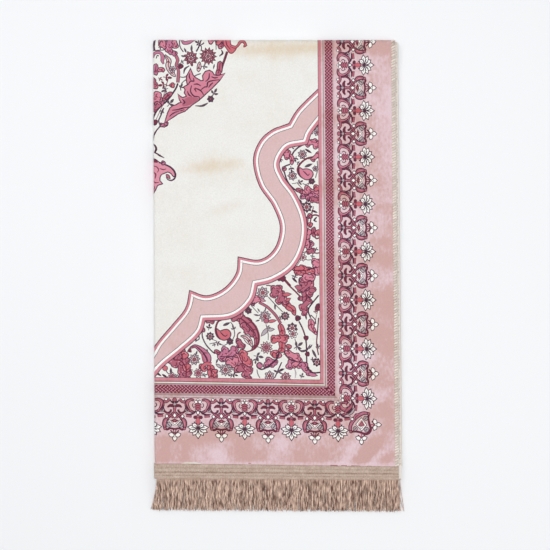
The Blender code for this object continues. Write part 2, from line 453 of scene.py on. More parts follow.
def way(degrees):
    return np.array([math.cos(math.radians(degrees)), math.sin(math.radians(degrees))])


class Pen:
    def __init__(self, shapes, spot=(0.0, 0.0), across=(1.0, 0.0), out=(0.0, 1.0), rim=1.0):
        self.shapes = shapes
        self.rim = rim
        self.spot, self.across, self.out = (np.array(v, float) for v in (spot, across, out))

    def halves(self):
        return self, Pen(self.shapes, self.spot, -self.across, self.out, self.rim)

    def fill(self, points, ink):
        points = pairs(points)
        points = self.spot + points[:, :1] * self.across + points[:, 1:] * self.out
        self.shapes.append((inkNames.index(ink), points))

    def edged(self, points, ink, edge="plum", rim=1.0):
        if edge:
            self.fill(grown(points, rim * self.rim), edge)
        self.fill(points, ink)

    def line(self, points, width, ink, edge=None, rim=0.8):
        path = smooth(points)
        if edge:
            self.fill(ribbon(path, np.asarray(width, float) + 2 * rim * self.rim), edge)
        self.fill(ribbon(path, width), ink)

    def blob(self, points, ink, edge="plum", rim=1.0):
        self.edged(smooth(points, closed=True), ink, edge, rim)

    def dot(self, spot, radius, ink, edge=None, rim=0.7, sides=8):
        turn = np.arange(sides) * 2 * math.pi / sides + 0.3
        circle = np.stack([np.cos(turn), np.sin(turn)], axis=1) * radius
        self.edged(circle + spot, ink, edge, rim)

    def lozenge(self, spot, halfX, halfY, ink, edge="plum"):
        x, y = spot
        self.edged([(x - halfX, y), (x, y - halfY), (x + halfX, y), (x, y + halfY)], ink, edge, 0.8)

    def leaf(self, base, tip, breadth, ink, bend=0.0, edge="plum", rim=0.8, fullest=0.45):
        base, tip = np.array(base, float), np.array(tip, float)
        along = tip - base
        beside = np.array([along[1], -along[0]])
        share = np.array([0.0, 0.14, 0.32, 0.52, 0.74, 1.0])
        spine = base + along * share[:, None] + beside * (bend * 4 * share * (1 - share))[:, None]
        width = breadth * np.sin(math.pi * share ** (math.log(0.5) / math.log(fullest))) ** 0.8
        outline = np.concatenate([shifted(spine, width / 2), shifted(spine, -width / 2)[-2:0:-1]])
        self.edged(outline, ink, edge, rim)

    def lobes(self, spots, ink):
        # scalloped lobes grown together into one leaf, with veins and curled marks inside
        turn = np.arange(12) * math.pi / 6
        near, join = 1.6, 1.45      # lobes this near, in radii, are joined by a neck this wide
        far, large = 3.4, 3.6       # a lobe further off turns its curl away, and a large one has a dot
        curlTurns = ((75, 0.75), (115, 0.62), (165, 0.5), (215, 0.42), (285, 0.3))  # degrees, reach
        parts = []
        for number, (x, y, radius) in enumerate(spots):
            reach = radius * (0.94 + 0.13 * np.cos(3 * turn + 1.7 * number))
            parts.append(np.stack([x + reach * np.cos(turn), y + reach * np.sin(turn)], axis=1))
        joins = []
        for (x, y, radius), (nextX, nextY, other) in zip(spots, spots[1:]):
            if math.hypot(nextX - x, nextY - y) < near * (radius + other):
                joins.append((np.array([(x, y), (nextX, nextY)]), join * min(radius, other)))
        for part in parts:
            self.fill(grown(part, self.rim), "plum")
        for path, width in joins:
            self.fill(ribbon(path, width + 2 * self.rim), "plum")
        for part in parts:
            self.fill(part, ink)
        for path, width in joins:
            self.fill(ribbon(path, width), ink)
        for number, (x, y, radius) in enumerate(spots):
            otherX, otherY = spots[number - 1][:2] if number else (x + 1, y + 2)
            towards = math.degrees(math.atan2(otherY - y, otherX - x))
            if math.hypot(otherX - x, otherY - y) > far * radius:
                towards += 70
            spot = np.array([x, y])
            curl = [spot + way(towards + angle) * radius * reach for angle, reach in curlTurns]
            self.fill(ribbon(curl, (0.7, 1.5, 1.3, 1.2, 0.6)), "plum" if number % 3 == 0 else "wine")
            if number % 2:
                self.fill(ribbon([spot, (spot + (otherX, otherY)) / 2], (0.7, 1.2)), "wine")
            if radius > large:
                self.dot(spot + way(towards + 235) * radius * 0.66, radius * 0.24, "petal", sides=5)

    def frond(self, spine, widths, lobeCount, ink):
        # a leaf with rounded lobes down both sides
        depth = 0.35            # how deep the cuts between the lobes go
        spine = pairs(spine)
        if len(spine) == 2:
            spine = [spine[0], np.mean(spine, axis=0), spine[1]]
        path = smooth(spine, step=1.6)
        share = np.linspace(0.0, 1.0, len(path))
        width = np.interp(share, np.linspace(0.0, 1.0, len(widths)), widths) / 2
        width = width * np.sqrt(1.02 - np.abs(2 * share - 1) ** 7)
        right = width * (1.0 - depth + depth * np.abs(np.sin(math.pi * lobeCount * share)))
        left = width * (1.0 - depth + depth * np.abs(np.sin(math.pi * (lobeCount * share + 0.45))))
        self.edged(np.concatenate([shifted(path, right), shifted(path, -left)[::-1]]), ink)
        inside = slice(1, -2)
        if len(path[inside]) > 1:
            self.fill(ribbon(path[inside], np.maximum(width[inside] * 0.3, 1.2)), "wine")
        for number in range(lobeCount):     # short veins into the lobes
            at = min(int((number + 0.6) / lobeCount * (len(path) - 2)), len(path) - 2)
            for hand in (1, -1):
                tip = shifted(path, hand * width * 0.75)[min(at + 2, len(path) - 1)]
                self.fill(ribbon([path[at], tip], (1.5, 0.9)), "wine")

    def rosette(self, spot, radius, petals, ink, turn):
        # one ring of petals, with a smaller one inside it on the larger flowers
        spot = np.array(spot, float)
        rings = [(1.0, turn, ink)]
        if radius > 5.0:
            rings.append((0.66, turn + 180 / petals, "blush" if ink != "blush" else "petal"))
        for size, first, shade in rings:
            for number in range(petals):
                ahead = way(first + number * 360 / petals)
                breadth = size * math.pi * radius / petals
                base, tip = spot + ahead * radius * 0.2, spot + ahead * radius * size
                self.leaf(base, tip, breadth, shade, rim=0.7, fullest=0.6)
        self.dot(spot, radius * 0.26, "dusk", "plum", rim=0.6, sides=7)

    def sprig(self, spot, length, turn, ink):
        # a short stem with three small leaves, as between the larger flowers
        ahead, beside = way(turn), way(turn + 90)
        spot = np.array(spot, float)
        self.fill(ribbon([spot - ahead * length * 0.5, spot + ahead * length * 0.2], 1.1), ink)
        self.leaf(spot, spot + ahead * length * 0.6, length * 0.3, ink, edge=None)
        for hand in (1, -1):
            tip = spot + ahead * length * 0.14 + beside * hand * length * 0.45
            self.leaf(spot - ahead * length * 0.1, tip, length * 0.26, ink, bend=-0.16 * hand, edge=None)


def lantern(pen):           # the cup-shaped ornament of the border
    for half in pen.halves():
        half.line([15.2, 6, 16.2, 12.4, 13.8, 18.6, 9.6, 21.2, 5.6, 19, 5, 16], 1.5, "wine", "plum", 0.6)
        half.line([16.4, 4.8, 12.4, 5, 9.2, 3.4, 6.2, 1], (2.4, 3, 2), "rose", "plum")
        half.dot((11.8, 1.4), 1.6, "white", "plum", 0.6, 6)
        half.line([0, 11.6, 4.4, 10.4, 7.2, 11, 10, 13], (2.6, 3.6, 3, 0.8), "wine", "plum", 0.5)
        half.line([0.6, 6.6, 3.4, 5.4, 6, 3.4], (3.6, 3, 1.4), "plum")
        half.line([0.6, 20.6, 7, 26, 13.2, 31.4], 1.7, "rose", "plum", 1.1)
        half.line([11, 21.6, 5.4, 25, -0.6, 29.8], 1.6, "rose", "plum")
        half.line([7.4, 30.6, 10.2, 33.4, 10.8, 38.4], 0.9, "plum")
        half.line([8.6, 28.2, 13.2, 31.6, 14.4, 37, 13.4, 43], (1.4, 2.8, 3.2, 1.8), "rose", "plum", 1.2)
        half.line([11.2, 31.4, 13, 34.2, 13.2, 39.4], (0.8, 1.5, 0.8), "petal")
        half.lozenge((10.8, 25.8), 1.9, 2.3, "white")
        half.dot((8, 38.2), 3.4, "grey", "plum", 0.7)
        half.line([6.6, 40.2, 8.8, 38, 9.8, 35.6], 1.2, "smoke")
        half.line([14.4, 43.2, 10.4, 45, 6, 43.4, 0, 44.6], (2, 2, 1.6, 2), "wine", "plum", 0.5)
        half.dot((13.4, 43.6), 1.7, "rose", "plum", 0.6, 6)
        half.line([0.8, 52, 5.8, 46], 2, "wine")
        half.line([0.4, 51, 2, 45.4], 1.4, "wine")
        half.leaf((0.6, 54.4), (7.8, 51.4), 5.2, "white", fullest=0.55)
    pen.fill([-7.6, 31.4, 0, 28, 7.6, 31.4, 0, 38.8], "blush")
    pen.line([-8.2, 31.4, 0, 39, 8.2, 31.4], 1, "white", "plum", 0.5)
    pen.edged([-5, 32.2, 0, 29.6, 5, 32.2, 0, 35], "wine", rim=0.3)
    pen.fill([-2, 32, 0, 30.8, 2, 32, 0, 33.2], "rose")
    pen.dot((0, 35.8), 1.4, "white", None, 0.4, 6)
    pen.line([0, 13.4, 0, 17, 0, 21], (3.4, 2.2, 3.2), "rose", "plum", 0.7)
    pen.lozenge((0, 24.6), 2.3, 3, "white")
    pen.dot((0, 2.2), 2.4, "rose", "plum")
    pen.dot((0, 8.6), 1.9, "grey", "plum", 0.6)
    pen.leaf((0, 54), (0, 61.4), 5, "white", fullest=0.5)
    pen.dot((0, 54.6), 1.2, "white", "plum", 0.5, 6)


def starFlower(pen):        # the flower on a lyre of scrolls, between two lanterns
    for half in pen.halves():
        half.line([5.4, 2.2, 10, 1.8, 14, 4, 15.4, 9.6, 13.4, 15.4, 9.4, 18.6, 5, 20.4],
                  (1, 2, 3.2, 3.8, 3.2, 1.5, 1), "rose", "plum", 1.1)
        half.line([16, 8, 15.2, 13, 11.4, 17.4], (0.6, 2.4, 1.2), "plum")
        half.line([10.4, 2.9, 13.3, 4.8, 14.2, 9.2, 12.4, 14.2, 9.8, 16.8], 0.9, "petal")
        half.line([8.2, 4, 11.4, 5.8, 11.6, 10, 8.6, 13.8, 4, 16], (0.8, 1.2, 1), "blush")
        half.line([6.4, 6.8, 8, 10, 5.6, 13.6], 1.2, "plum")
        half.dot((2.7, 4.8), 1.9, "white", "plum", 0.6, 6)
        half.line([2.4, 17.6, 6.8, 22, 12, 23.2, 18, 22.4], (2.4, 2.6, 1.2), "plum")
        half.line([8.8, 26.2, 16.6, 25.2], 3.8, "wine")
        half.line([9.6, 26.2, 15.8, 25.4], 2.2, "rose")
        half.line([12.8, 18.4, 16.2, 19.2, 17, 16], 1, "grey", "smoke", 0.6)
        half.dot((4, 27.4), 2, "wine", "plum", 0.6, 6)
        half.line([5.6, 33.6, 4, 36, 1.6, 37.4], 1.7, "plum")
    pen.dot((0, 1.4), 1.3, "white", "plum", 0.5, 5)
    pen.lozenge((0, 9), 3.6, 2.2, "rose", "wine")
    pen.lozenge((0, 12.2), 3.9, 2.2, "rose", "wine")
    pen.lozenge((0, 15.2), 3.2, 1.9, "rose", "wine")
    pen.lozenge((0, 20.6), 1.8, 2.6, "white")
    pen.dot((0, 26), 1.9, "rose", "plum", 0.6)
    pen.leaf((0, 28.2), (0, 38.4), 6.2, "coral", edge="wine", rim=0.4, fullest=0.45)
    petals = ((0, 14.8, 5.2), (33, 12.2, 4.8), (64, 13.2, 4.8), (94, 13.6, 4.8), (128, 9.4, 5))
    star = np.array([0, 42.8])
    for turn, reach, breadth in petals:     # turn from outward, reach, breadth
        for hand in ((1,) if turn == 0 else (1, -1)):
            ahead = way(90 - turn * hand)
            pen.leaf(star + ahead * 1.2, star + ahead * reach, breadth, "white", rim=0.9, fullest=0.62)
            pen.fill(ribbon([star + ahead * 1.5, star + ahead * reach * 0.74], (1.2, 0.6)), "smoke")
    for turn in (45, 135):
        pen.fill(ribbon([star - way(turn) * 3, star + way(turn) * 3], 1.3), "plum")


def cornerCup(pen):         # where the two borders meet
    both = (pen, Pen(pen.shapes, pen.spot, pen.out, pen.across, pen.rim))
    for half in both:
        half.line([-15.2, 10, -15.6, 4.3, -14, -0.8, -10, -6.4, -7, -9.6], (1.4, 2.6, 3.2, 3, 2.4),
                  "mauve", "plum", 1)
        half.line([-15.4, 10.6, -8.6, 9.8, -2, 10.8, 3.8, 12.8, 8.8, 12.4, 11.8, 10],
                  (2.2, 1.6, 1.8, 2.2, 2.4, 2), "wine", "plum", 0.5)
        half.dot((-14.8, 10.4), 1.6, "rose", "plum", 0.6, 6)
        half.dot((-8.6, 6.2), 2.6, "grey", "plum", 0.7)
        half.line([-9.8, 7.4, -7.6, 5.2], 1.1, "smoke")
        half.line([0.4, 18.4, 5, 14.8], 2.2, "wine")
        half.line([-0.4, 18.4, -5, 14.8], 2.2, "wine")
        half.line([0, 19, 0, 12.6], 1.8, "rose")
        half.leaf((0.6, 20.4), (7.2, 17.6), 4.6, "white", fullest=0.55)
        half.leaf((-0.6, 20.4), (-7.2, 17.6), 4.6, "white", fullest=0.55)
        half.leaf((0, 20.6), (0, 27.4), 4.6, "white", fullest=0.5)
        half.dot((0, 20.4), 1.2, "white", "plum", 0.5, 6)
        half.line([-7, -10.6, -11.4, -8.4, -14, -4.4], 1.8, "mauve", "plum", 0.7)
        half.dot((-7, -12.6), 1.7, "white", "plum", 0.7, 6)
    pen.dot((7, 7), 3, "grey", "plum", 0.7)
    pen.line([5.6, 8.6, 8.4, 5.8], 1.1, "smoke")
    pen.edged([-7.2, 0, 0, -8.6, 7, 0.6, 0.4, 8.4], "white", "plum", 0.7)
    pen.fill([-5.6, 0, 0, -6.8, 5.4, 0.6, 0.4, 6.6], "blush")
    pen.edged([-3.2, 1.4, 1, -4, 3, 1], "rose", "wine", 0.7)
    pen.dot((-0.4, 4.2), 1.3, "white", "plum", 0.5, 6)
    pen.line([-13, -26, -16, -21, -22, -17], (2, 5.4, 2.4), "rose", "plum", 0.7)
    pen.line([-12.4, -23, -15.6, -18, -20, -15.4], (1.6, 4, 2.4), "plum")
    pen.line([-9.4, -22, -13, -16, -18, -12.6], (1.4, 2.4, 1.4), "grey", "smoke", 0.7)


border = dict(
    stripe=234.0,           # where the inner rose stripe starts, from the middle
    ornament=260.4,
    endStripe=471.0,
    endOrnament=499.6,
    endSpots=65.0,          # from one lantern to the next along an end
    firstEndSpot=30.5,
    sideSpots=(4.1, 62.6, 0.385),      # the rows down a side stretch a little towards the end
    sideDepth=0.89,         # the side's ornaments are a little shorter
    corner=(290.4, 530.9),
    lanternDepth=0.965,     # and the end's are pressed together a little
    starDepth=0.95,
    braid=(9.3, 20.3),
    dash=(2.7, 1.65),       # the light dashes of the braid, in five rows
    dashPitch=(4.64, 5.1),  # along the side and along the end
    rim=1.3,
    endShift=0.9,           # the end's stripes lie a little further out
    endStart=-2.0,          # where the braid's dashes along the end begin
)
past = -9.0                 # shapes reach this far over the middle lines, so that the quarters meet
borderStripes = (           # distances out from the rose stripe, ink, the end's ink, the end's shift
    (-0.5, 4.6, "line", None, 0.0),
    (0.2, 4.6, "stripe", None, 0.0),
    (4.0, 5.1, "pale", "line", 0.6),
    (4.9, 6.7, "pale", "cream", 0.9),
    (6.6, 7.5, "thread", None, 0.9),
    (7.5, 9.4, "pale", "shadow", 0.9),
    (9.3, 20.3, "braidDark", None, 0.9),
    (20.3, 21.3, "pale", "clay", 0.9),
    (21.3, 24.0, "shadow", "clay", 0.9),
    (21.8, 24.0, "pale", "clay", 0.9),
    (24.0, 25.9, "ground", "pale", 0.9),
    (25.9, 26.7, "ground", "thread", 0.9),
)


def sideRow(number):
    first, pitch, stretch = border["sideSpots"]
    return first + pitch * number + stretch * number * number


def drawBorder(pen):
    far = 760.0
    left, top = border["stripe"], border["endStripe"]

    def frameStripe(inner, outer, ink, endInk, shift):
        low = top + shift
        pen.fill([(left + inner, past), (left + outer, past), (left + outer, low + outer),
                  (past, low + outer), (past, low + inner), (left + inner, low + inner)], ink)
        if endInk:
            pen.fill([(past, low + inner), (left + inner, low + inner), (left + outer, low + outer),
                      (past, low + outer)], endInk)

    pen.fill([(left, past), (far, past), (far, far), (past, far), (past, top), (left, top)], "ground")
    for stripe in borderStripes:
        frameStripe(*stripe)
    braidFrom, braidTo = border["braid"]
    length, thick = border["dash"]
    column = (braidTo - braidFrom) / 5
    reach = length / 2 * math.sqrt(0.5)
    sidePitch, endPitch = border["dashPitch"]
    for row in range(5):
        side = left + braidFrom + (row + 0.5) * column
        low = top + border["endShift"] + braidFrom + (row + 0.5) * column
        for number in range(int(low / sidePitch) + 1):      # down the side
            y = (number + 0.5 * (row % 2)) * sidePitch
            lean = 1 if (row + number // 4) % 2 else -1
            dash = [(side - reach, y + reach * lean), (side + reach, y - reach * lean)]
            if y < low + 1.5:
                pen.line(dash, thick, "braidLight")
        for number in range(int(side / endPitch) + 1):      # and along the end
            x = (number + 0.5 * (row % 2)) * endPitch + border["endStart"]
            lean = 1 if (row // 2 + number // 5) % 2 else -1
            dash = [(x - reach * lean, low - reach), (x + reach * lean, low + reach)]
            if x < side - 1.0:
                pen.line(dash, thick, "braidLight")
    rim, pitch = border["rim"], border["endSpots"]

    def atEnd(number, depth):
        spot = (border["firstEndSpot"] + number * pitch, border["endOrnament"])
        return Pen(pen.shapes, spot, (1, 0), (0, depth), rim)

    def atSide(number, stretch):
        spot = (border["ornament"], sideRow(number))
        return Pen(pen.shapes, spot, (0, stretch), (border["sideDepth"], 0), rim)

    for number in range(4):
        lantern(atEnd(number, border["lanternDepth"]))
    for number in range(5):
        starFlower(atEnd(number - 0.5, border["starDepth"]))
    for number in range(8):
        stretch = (sideRow(number + 0.5) - sideRow(number - 0.5)) / pitch
        lantern(atSide(number, stretch))
        starFlower(atSide(number + 0.5, stretch))
    cornerCup(Pen(pen.shapes, border["corner"], rim=rim))


# The scalloped band's edge towards the field and its thin line towards the corner, from the side
# stripe round to the middle line, as arcs that meet in points.
fieldEdge = (
    ((241, 62), (216.5, 85), (202.5, 100), (192.2, 117)),
    ((192.2, 117), (167.5, 126.5), (150, 143.5), (142, 169.5), (150, 203.5), (169, 232), (179, 262),
     (171, 291.5), (150, 307), (119.8, 302.8)),
    ((119.8, 302.8), (117, 325.8), (100.5, 346.6), (76, 357), (51.7, 349.6)),
    ((51.7, 349.6), (46, 374.5), (28, 397.4), (7.5, 421.5), (-4, 442)),
)
cornerEdge = (
    ((241, 97), (218.5, 125.7), (212.5, 139.4)),
    ((212.5, 139.4), (186, 146.4), (171, 171.8), (178.7, 196), (196, 220.4), (208.5, 252.7),
     (206.4, 285), (192, 313.2), (166.4, 330.4), (140.5, 337)),
    ((140.5, 337), (133, 361.6), (108.5, 381.3), (67.5, 384.8)),
    ((67.5, 384.8), (60, 406.6), (34.8, 429.7), (9.4, 450.6), (-4, 468)),
)


def scallops(arcs):
    paths = [smooth(arc, step=3) for arc in arcs]
    return np.concatenate([path[:-1] for path in paths[:-1]] + [paths[-1]])


def drawBand(pen):
    field, corner = scallops(fieldEdge), scallops(cornerEdge)

    def across(fromField, fromCorner, ink):
        pen.fill(np.concatenate([shifted(field, fromField), shifted(corner, fromCorner)[::-1]]), ink)

    across(-0.4, 8.2, "plum")
    across(0.8, 7.1, "stripe")
    across(3.8, 3.1, "white")
    across(6.8, 0, "line")
    across(7.6, -0.8, "band")


# Below, vines are points, a breadth and an ink. Fronds are a spine, breadths along it, a count of
# lobes and an ink. Lobes are an ink and places with a radius. Blooms are a place, radius, petals
# and ink. The places were read off enlarged views of the photograph.
lowCornerVines = (
    ([69, 406, 70, 416, 75, 426, 82, 434, 87, 438], 1.8, "plum"),
    ([98, 390, 92, 393, 89, 399, 88, 406, 90, 413, 95, 418], 2.6, "wine"),
    ([109, 394, 112.5, 399, 114, 405, 114.5, 412, 112, 418], 1.3, "smoke"),
    ([94, 424.5, 100, 426.5, 105, 423.5], 1.1, "smoke"),
    ([79.5, 424.5, 90, 421.5, 83, 418], 1, "smoke"),
    ([64.5, 412, 65, 417.5, 60, 420.5], 1.6, "smoke"),
    ([17, 452, 18.5, 461, 22, 466], 1.2, "plum"),
    ([123, 408, 119, 411, 118.5, 417, 121, 421], 1.8, "wine"),
    ([162, 359, 171, 369, 182, 380], 1.3, "smoke"),
    ([159, 343, 164, 343, 168, 346], 1.6, "wine"),
    ([184, 335, 192, 344, 200, 351.5, 207, 359], 2.2, "wine"),
    ([232.5, 356.5, 225, 365.5, 218.5, 374.5, 218, 381, 221, 388], 2, "plum"),
    ([221, 384, 227, 390.5, 228, 397], 1.4, "plum"),
    ([204.5, 393, 209, 402, 213, 413.5, 214.5, 424, 214.8, 433, 215, 454], 2, "plum"),
    ([158.5, 397, 160, 404, 161.4, 411, 161.4, 419], 1.1, "smoke"),
    ([138, 371, 144.5, 378, 148, 381.5], 1, "smoke"),
    ([198.5, 417, 200.4, 425, 200.6, 433], 1, "smoke"),
    ([202.6, 431, 208, 434.5, 215.4, 432.5, 220, 425], (0.8, 3.2, 2.6, 1), "smoke"),
    ([232, 388, 230.5, 406, 229, 424, 231.5, 440], 1.8, "wine"),
    ([180, 450, 175, 461, 170, 472], 1.7, "plum"),
    ([145.5, 460, 146.5, 466, 149.5, 472], 1.2, "smoke"),
    ([197.8, 458, 199.5, 465, 198.6, 472], (1, 2.4, 1), "grey"),
    ([139, 433, 146, 428.5, 152, 431], 1, "smoke"),
)
lowCornerFronds = (
    ([53, 429.5, 60, 427.6, 68, 433.4, 74.5, 442, 78, 451], (2.4, 3.6, 8, 12.5, 13), 1, "mauve"),
    ([80, 454, 81.5, 464, 82, 474], (10, 9, 8), 2, "coral"),
    ([87, 433.6, 94, 439], (4.6, 5.4), 1, "rose"),
    ([116, 387.5, 124, 389.5, 133, 397, 140.5, 405.5, 144.5, 415, 144.8, 424, 139, 432],
     (10, 14, 15, 12, 8, 4, 2), 5, "rose"),
    ([178.5, 397, 180, 405, 182.5, 413], (6, 8, 8), 1, "coral"),
    ([181, 421, 180.6, 428, 180, 436], (9, 8, 10), 1, "coral"),
    ([214.5, 345, 215, 357, 214.5, 371], (10, 12, 8), 3, "rose"),
    ([221.4, 390, 221.6, 399, 224.3, 405, 229, 411], (6, 9, 6, 2), 2, "pink"),
    ([182, 365, 189, 371.5, 195, 375.5, 199, 384], (7, 9.5, 8, 3.6), 2, "coral"),
    ([124, 413.5, 131, 415, 136, 421, 139, 428], (1.4, 5, 5, 1.4), 1, "blush"),
)
lowCornerLobes = (
    ("rose", ((19.5, 446, 2.6), (24, 446, 4.8), (31, 453, 4.6), (36, 441.5, 4.6), (40.5, 434.5, 4.6),
              (47, 448.5, 4.6), (39.5, 451, 5), (39.5, 462, 4.6), (50.5, 465.5, 4), (44, 466, 5),
              (39.5, 470, 3.4), (48, 472, 4))),
    ("coral", ((44.5, 440, 5.2), (47.6, 457.5, 5.6))),
    ("coral", ((69, 457, 4.4), (86.6, 463.5, 3.8), (87.6, 469, 2.8))),
    ("mauve", ((100.8, 433.4, 5), (95.5, 443, 4.6), (102.6, 440.5, 4.6), (98, 446, 3.4), (114, 432.5, 5),
               (107.9, 439.6, 4.6), (116, 438.7, 4.6), (112.3, 445.8, 4.6), (119.4, 447.6, 4.6))),
    ("pink", ((106, 448.4, 4.6), (113.2, 452.5, 4.6), (117, 443, 4.4), (122.4, 451, 4.6))),
    ("rose", ((119.7, 420.6, 3.4), (126, 427.7, 3.2), (121, 427, 2.8), (118.8, 460, 5),
              (126, 457.5, 5.4), (135, 461.5, 4.8), (129.5, 467, 5), (134, 472, 3.6))),
    ("coral", ((126, 438.3, 5.8), (129, 446.4, 5.8), (134.5, 451, 5.2))),
    ("rose", ((114, 388.5, 4.4), (121.5, 383.5, 5), (127, 399, 4.2), (132.5, 406, 4.8),
              (139.2, 411, 3.4))),
    ("rose", ((77.5, 392, 3), (83.5, 393.4, 2.6), (70.7, 405, 2.3))),
    ("pink", ((142.8, 360.5, 5), (140, 366, 4.2), (148, 361.5, 4.2))),
    ("coral", ((170.2, 418, 5.4), (176.4, 416.5, 4.8), (183, 418, 5.2), (187, 415, 2.8),
               (190, 428.5, 3.2), (170.2, 438.3, 5.2))),
    ("mauve", ((162.3, 448, 4.8), (171, 450, 3.4), (165.8, 452.5, 4.4), (158.7, 454, 3.8),
               (193.3, 441.5, 4.6), (194.2, 450, 5), (190.6, 455.5, 4.4), (205, 454.5, 4),
               (211, 454.5, 5), (213.8, 460, 4.2), (218.5, 465, 4))),
    ("pink", ((176, 440.5, 3.6), (188.8, 437.6, 4.4), (200.4, 443, 5.4), (204.4, 447, 3.8),
              (198, 454, 3.8))),
    ("rose", ((209.2, 337, 4.8), (213.6, 341, 5.4), (220.4, 339.6, 5.6), (207.8, 348.6, 4.6),
              (223.6, 348.6, 4.6), (220, 353.6, 5), (206.6, 361, 2.8), (218.6, 364.6, 4),
              (209.4, 373.5, 4.6), (213.8, 377, 3.8), (212, 382, 3.2))),
    ("rose", ((170, 348, 4.8), (176.5, 347, 4.8), (169.3, 355.8, 4.4), (175, 353, 4.4),
              (180.5, 353.4, 3.8), (176.4, 364.8, 4.2), (183, 360.4, 5), (186, 365, 4.2))),
    ("wine", ((203, 388.6, 3.2), (214.3, 416.2, 2.6), (216, 438.5, 2.4), (232, 373.5, 4.4))),
)
lowCornerBlooms = (
    ((58.2, 446), 7.4, 9, "grey"), ((63.8, 465), 6.2, 8, "blush"), ((101.7, 460.5), 8, 10, "grey"),
    ((80.4, 413.8), 5.2, 8, "smoke"), ((108, 421), 4.4, 6, "smoke"), ((154.3, 353), 7.8, 8, "grey"),
    ((185.3, 385.5), 5.4, 9, "smoke"), ((157, 386), 7.6, 10, "grey"), ((158.7, 429.5), 8, 11, "blush"),
    ((134, 378), 4.4, 6, "smoke"), ((195, 402.5), 7.2, 7, "smoke"), ((196, 410.5), 6.2, 7, "white"),
    ((229, 450), 5.4, 7, "plum"), ((185.5, 471), 6.8, 9, "pink"), ((163, 469), 6.6, 6, "grey"),
    ((27, 470), 5.6, 7, "blush"),
)
lowCornerLeaves = (     # base, tip, breadth, ink
    ((25.5, 466), (25.5, 457.5), 3.4, "plum"), ((13, 466.5), (21, 471.5), 3.2, "plum"),
    ((4, 463.5), (13, 469.5), 3, "plum"), ((7, 455), (14, 452), 2.4, "smoke"),
    ((60, 440.5), (62.5, 433.5), 2.6, "smoke"), ((98, 399), (109, 394.5), 4, "smoke"),
    ((171, 368), (171.4, 377.5), 2.6, "smoke"), ((209, 347), (199.5, 344.4), 6.4, "rose"),
    ((219, 349.5), (228, 350.5), 6, "rose"), ((182, 356), (193.5, 355), 4.4, "coral"),
    ((187, 364.5), (192.5, 361), 3.4, "coral"), ((157.5, 379), (158.5, 372), 2, "smoke"),
    ((150, 380), (146.5, 374.5), 2, "smoke"), ((149, 385), (141, 383.5), 2.4, "smoke"),
    ((150, 391), (143.5, 393), 2.2, "smoke"), ((161.4, 393.6), (172.5, 391.6), 3.4, "coral"),
    ((161, 403), (152, 413), 4.6, "grey"), ((161, 405), (169.5, 404), 3.6, "grey"),
    ((214, 384), (215, 391), 2.4, "plum"), ((222.5, 432), (229, 445), 3.6, "smoke"),
    ((176, 462), (184, 459), 3.4, "plum"), ((174, 464), (168.5, 461), 2.8, "plum"),
    ((217, 466), (229, 468.5), 4.6, "mauve"), ((91, 445), (88.4, 452), 2.6, "smoke"),
    ((95, 457), (89, 453), 3, "grey"), ((108, 457), (112, 460.5), 2.4, "grey"),
    ((75.5, 431), (77.5, 437), 2, "smoke"), ((207, 385), (204, 391), 1.8, "plum"),
    ((151, 362.5), (157.5, 364.5), 2.8, "pink"), ((223, 425), (218, 432), 2.2, "smoke"),
)
lowCornerSprigs = (     # where, length, turn, ink
    ((79, 401), 9, -80, "plum"), ((59, 417.5), 10, 150, "smoke"), ((92, 424), 8, 20, "plum"),
    ((113, 402.5), 8, 250, "smoke"), ((147.5, 442), 13, 10, "smoke"), ((144, 447.5), 9, 100, "smoke"),
    ((203, 427), 14, -35, "smoke"), ((177, 463), 9, -40, "plum"), ((140.5, 369), 7, 60, "plum"),
    ((114, 467.5), 9, 15, "plum"), ((72.5, 468), 7, -20, "smoke"), ((53.5, 461.5), 6, 70, "wine"),
    ((33, 470), 7, -60, "smoke"), ((162, 401), 6, 20, "smoke"), ((231, 428), 8, 250, "smoke"),
    ((208, 469), 8, -70, "smoke"), ((109, 468.5), 7, 180, "smoke"), ((223, 446), 6, -90, "plum"),
    ((86, 425.5), 6, 160, "smoke"), ((178.5, 388), 6, 70, "smoke"), ((228, 379), 7, -100, "wine"),
)
sideCornerVines = (
    ([212, 146.5, 204.5, 151, 199, 156.5, 196.5, 161], 2.2, "plum"),
    ([181.5, 158.6, 186.4, 163], 1.6, "plum"),
    ([193.5, 174, 186.7, 176.6, 183.8, 180, 186, 186.5, 188.2, 194, 193.2, 202.7, 201.5, 210.5], 2,
     "plum"),
    ([236, 164, 226, 164, 217.4, 165.8, 210.3, 170.7, 205.7, 176.4, 204.2, 183, 206.7, 189.2,
      211.7, 193.5, 217.4, 195.4], (4.4, 3, 2.6, 2.6, 2.8, 3, 2.6, 1.8, 1.2), "wine"),
    ([231.7, 169, 232.2, 177, 231.7, 184, 229, 193], 1.2, "smoke"),
    ([211, 200.6, 215.4, 202.2, 221, 199.6], 1.1, "smoke"),
    ([196, 200.8, 200, 200.6, 204.6, 199.2], 0.9, "smoke"),
    ([225, 126, 231, 126], 1, "smoke"),
    ([204.4, 224, 208, 227, 211, 230], 1.1, "smoke"),
    ([221, 246.4, 229, 244.6, 236, 247.4], 2.2, "wine"),
    ([230.5, 247.6, 226.8, 252, 230.4, 254], (1.6, 2.6, 1.4), "plum"),
    ([227, 274.3, 230, 277.6, 235, 276], 2, "wine"),
    ([225.3, 296.7, 230, 298, 235, 297], 1.8, "wine"),
    ([212.4, 304.7, 217, 307.4, 222, 307], 1.1, "smoke"),
    ([210.8, 297.8, 214, 296, 219, 295.4], 1.1, "smoke"),
    ([184.6, 333.6, 188.5, 338, 193.4, 343.4], 2.2, "wine"),
)
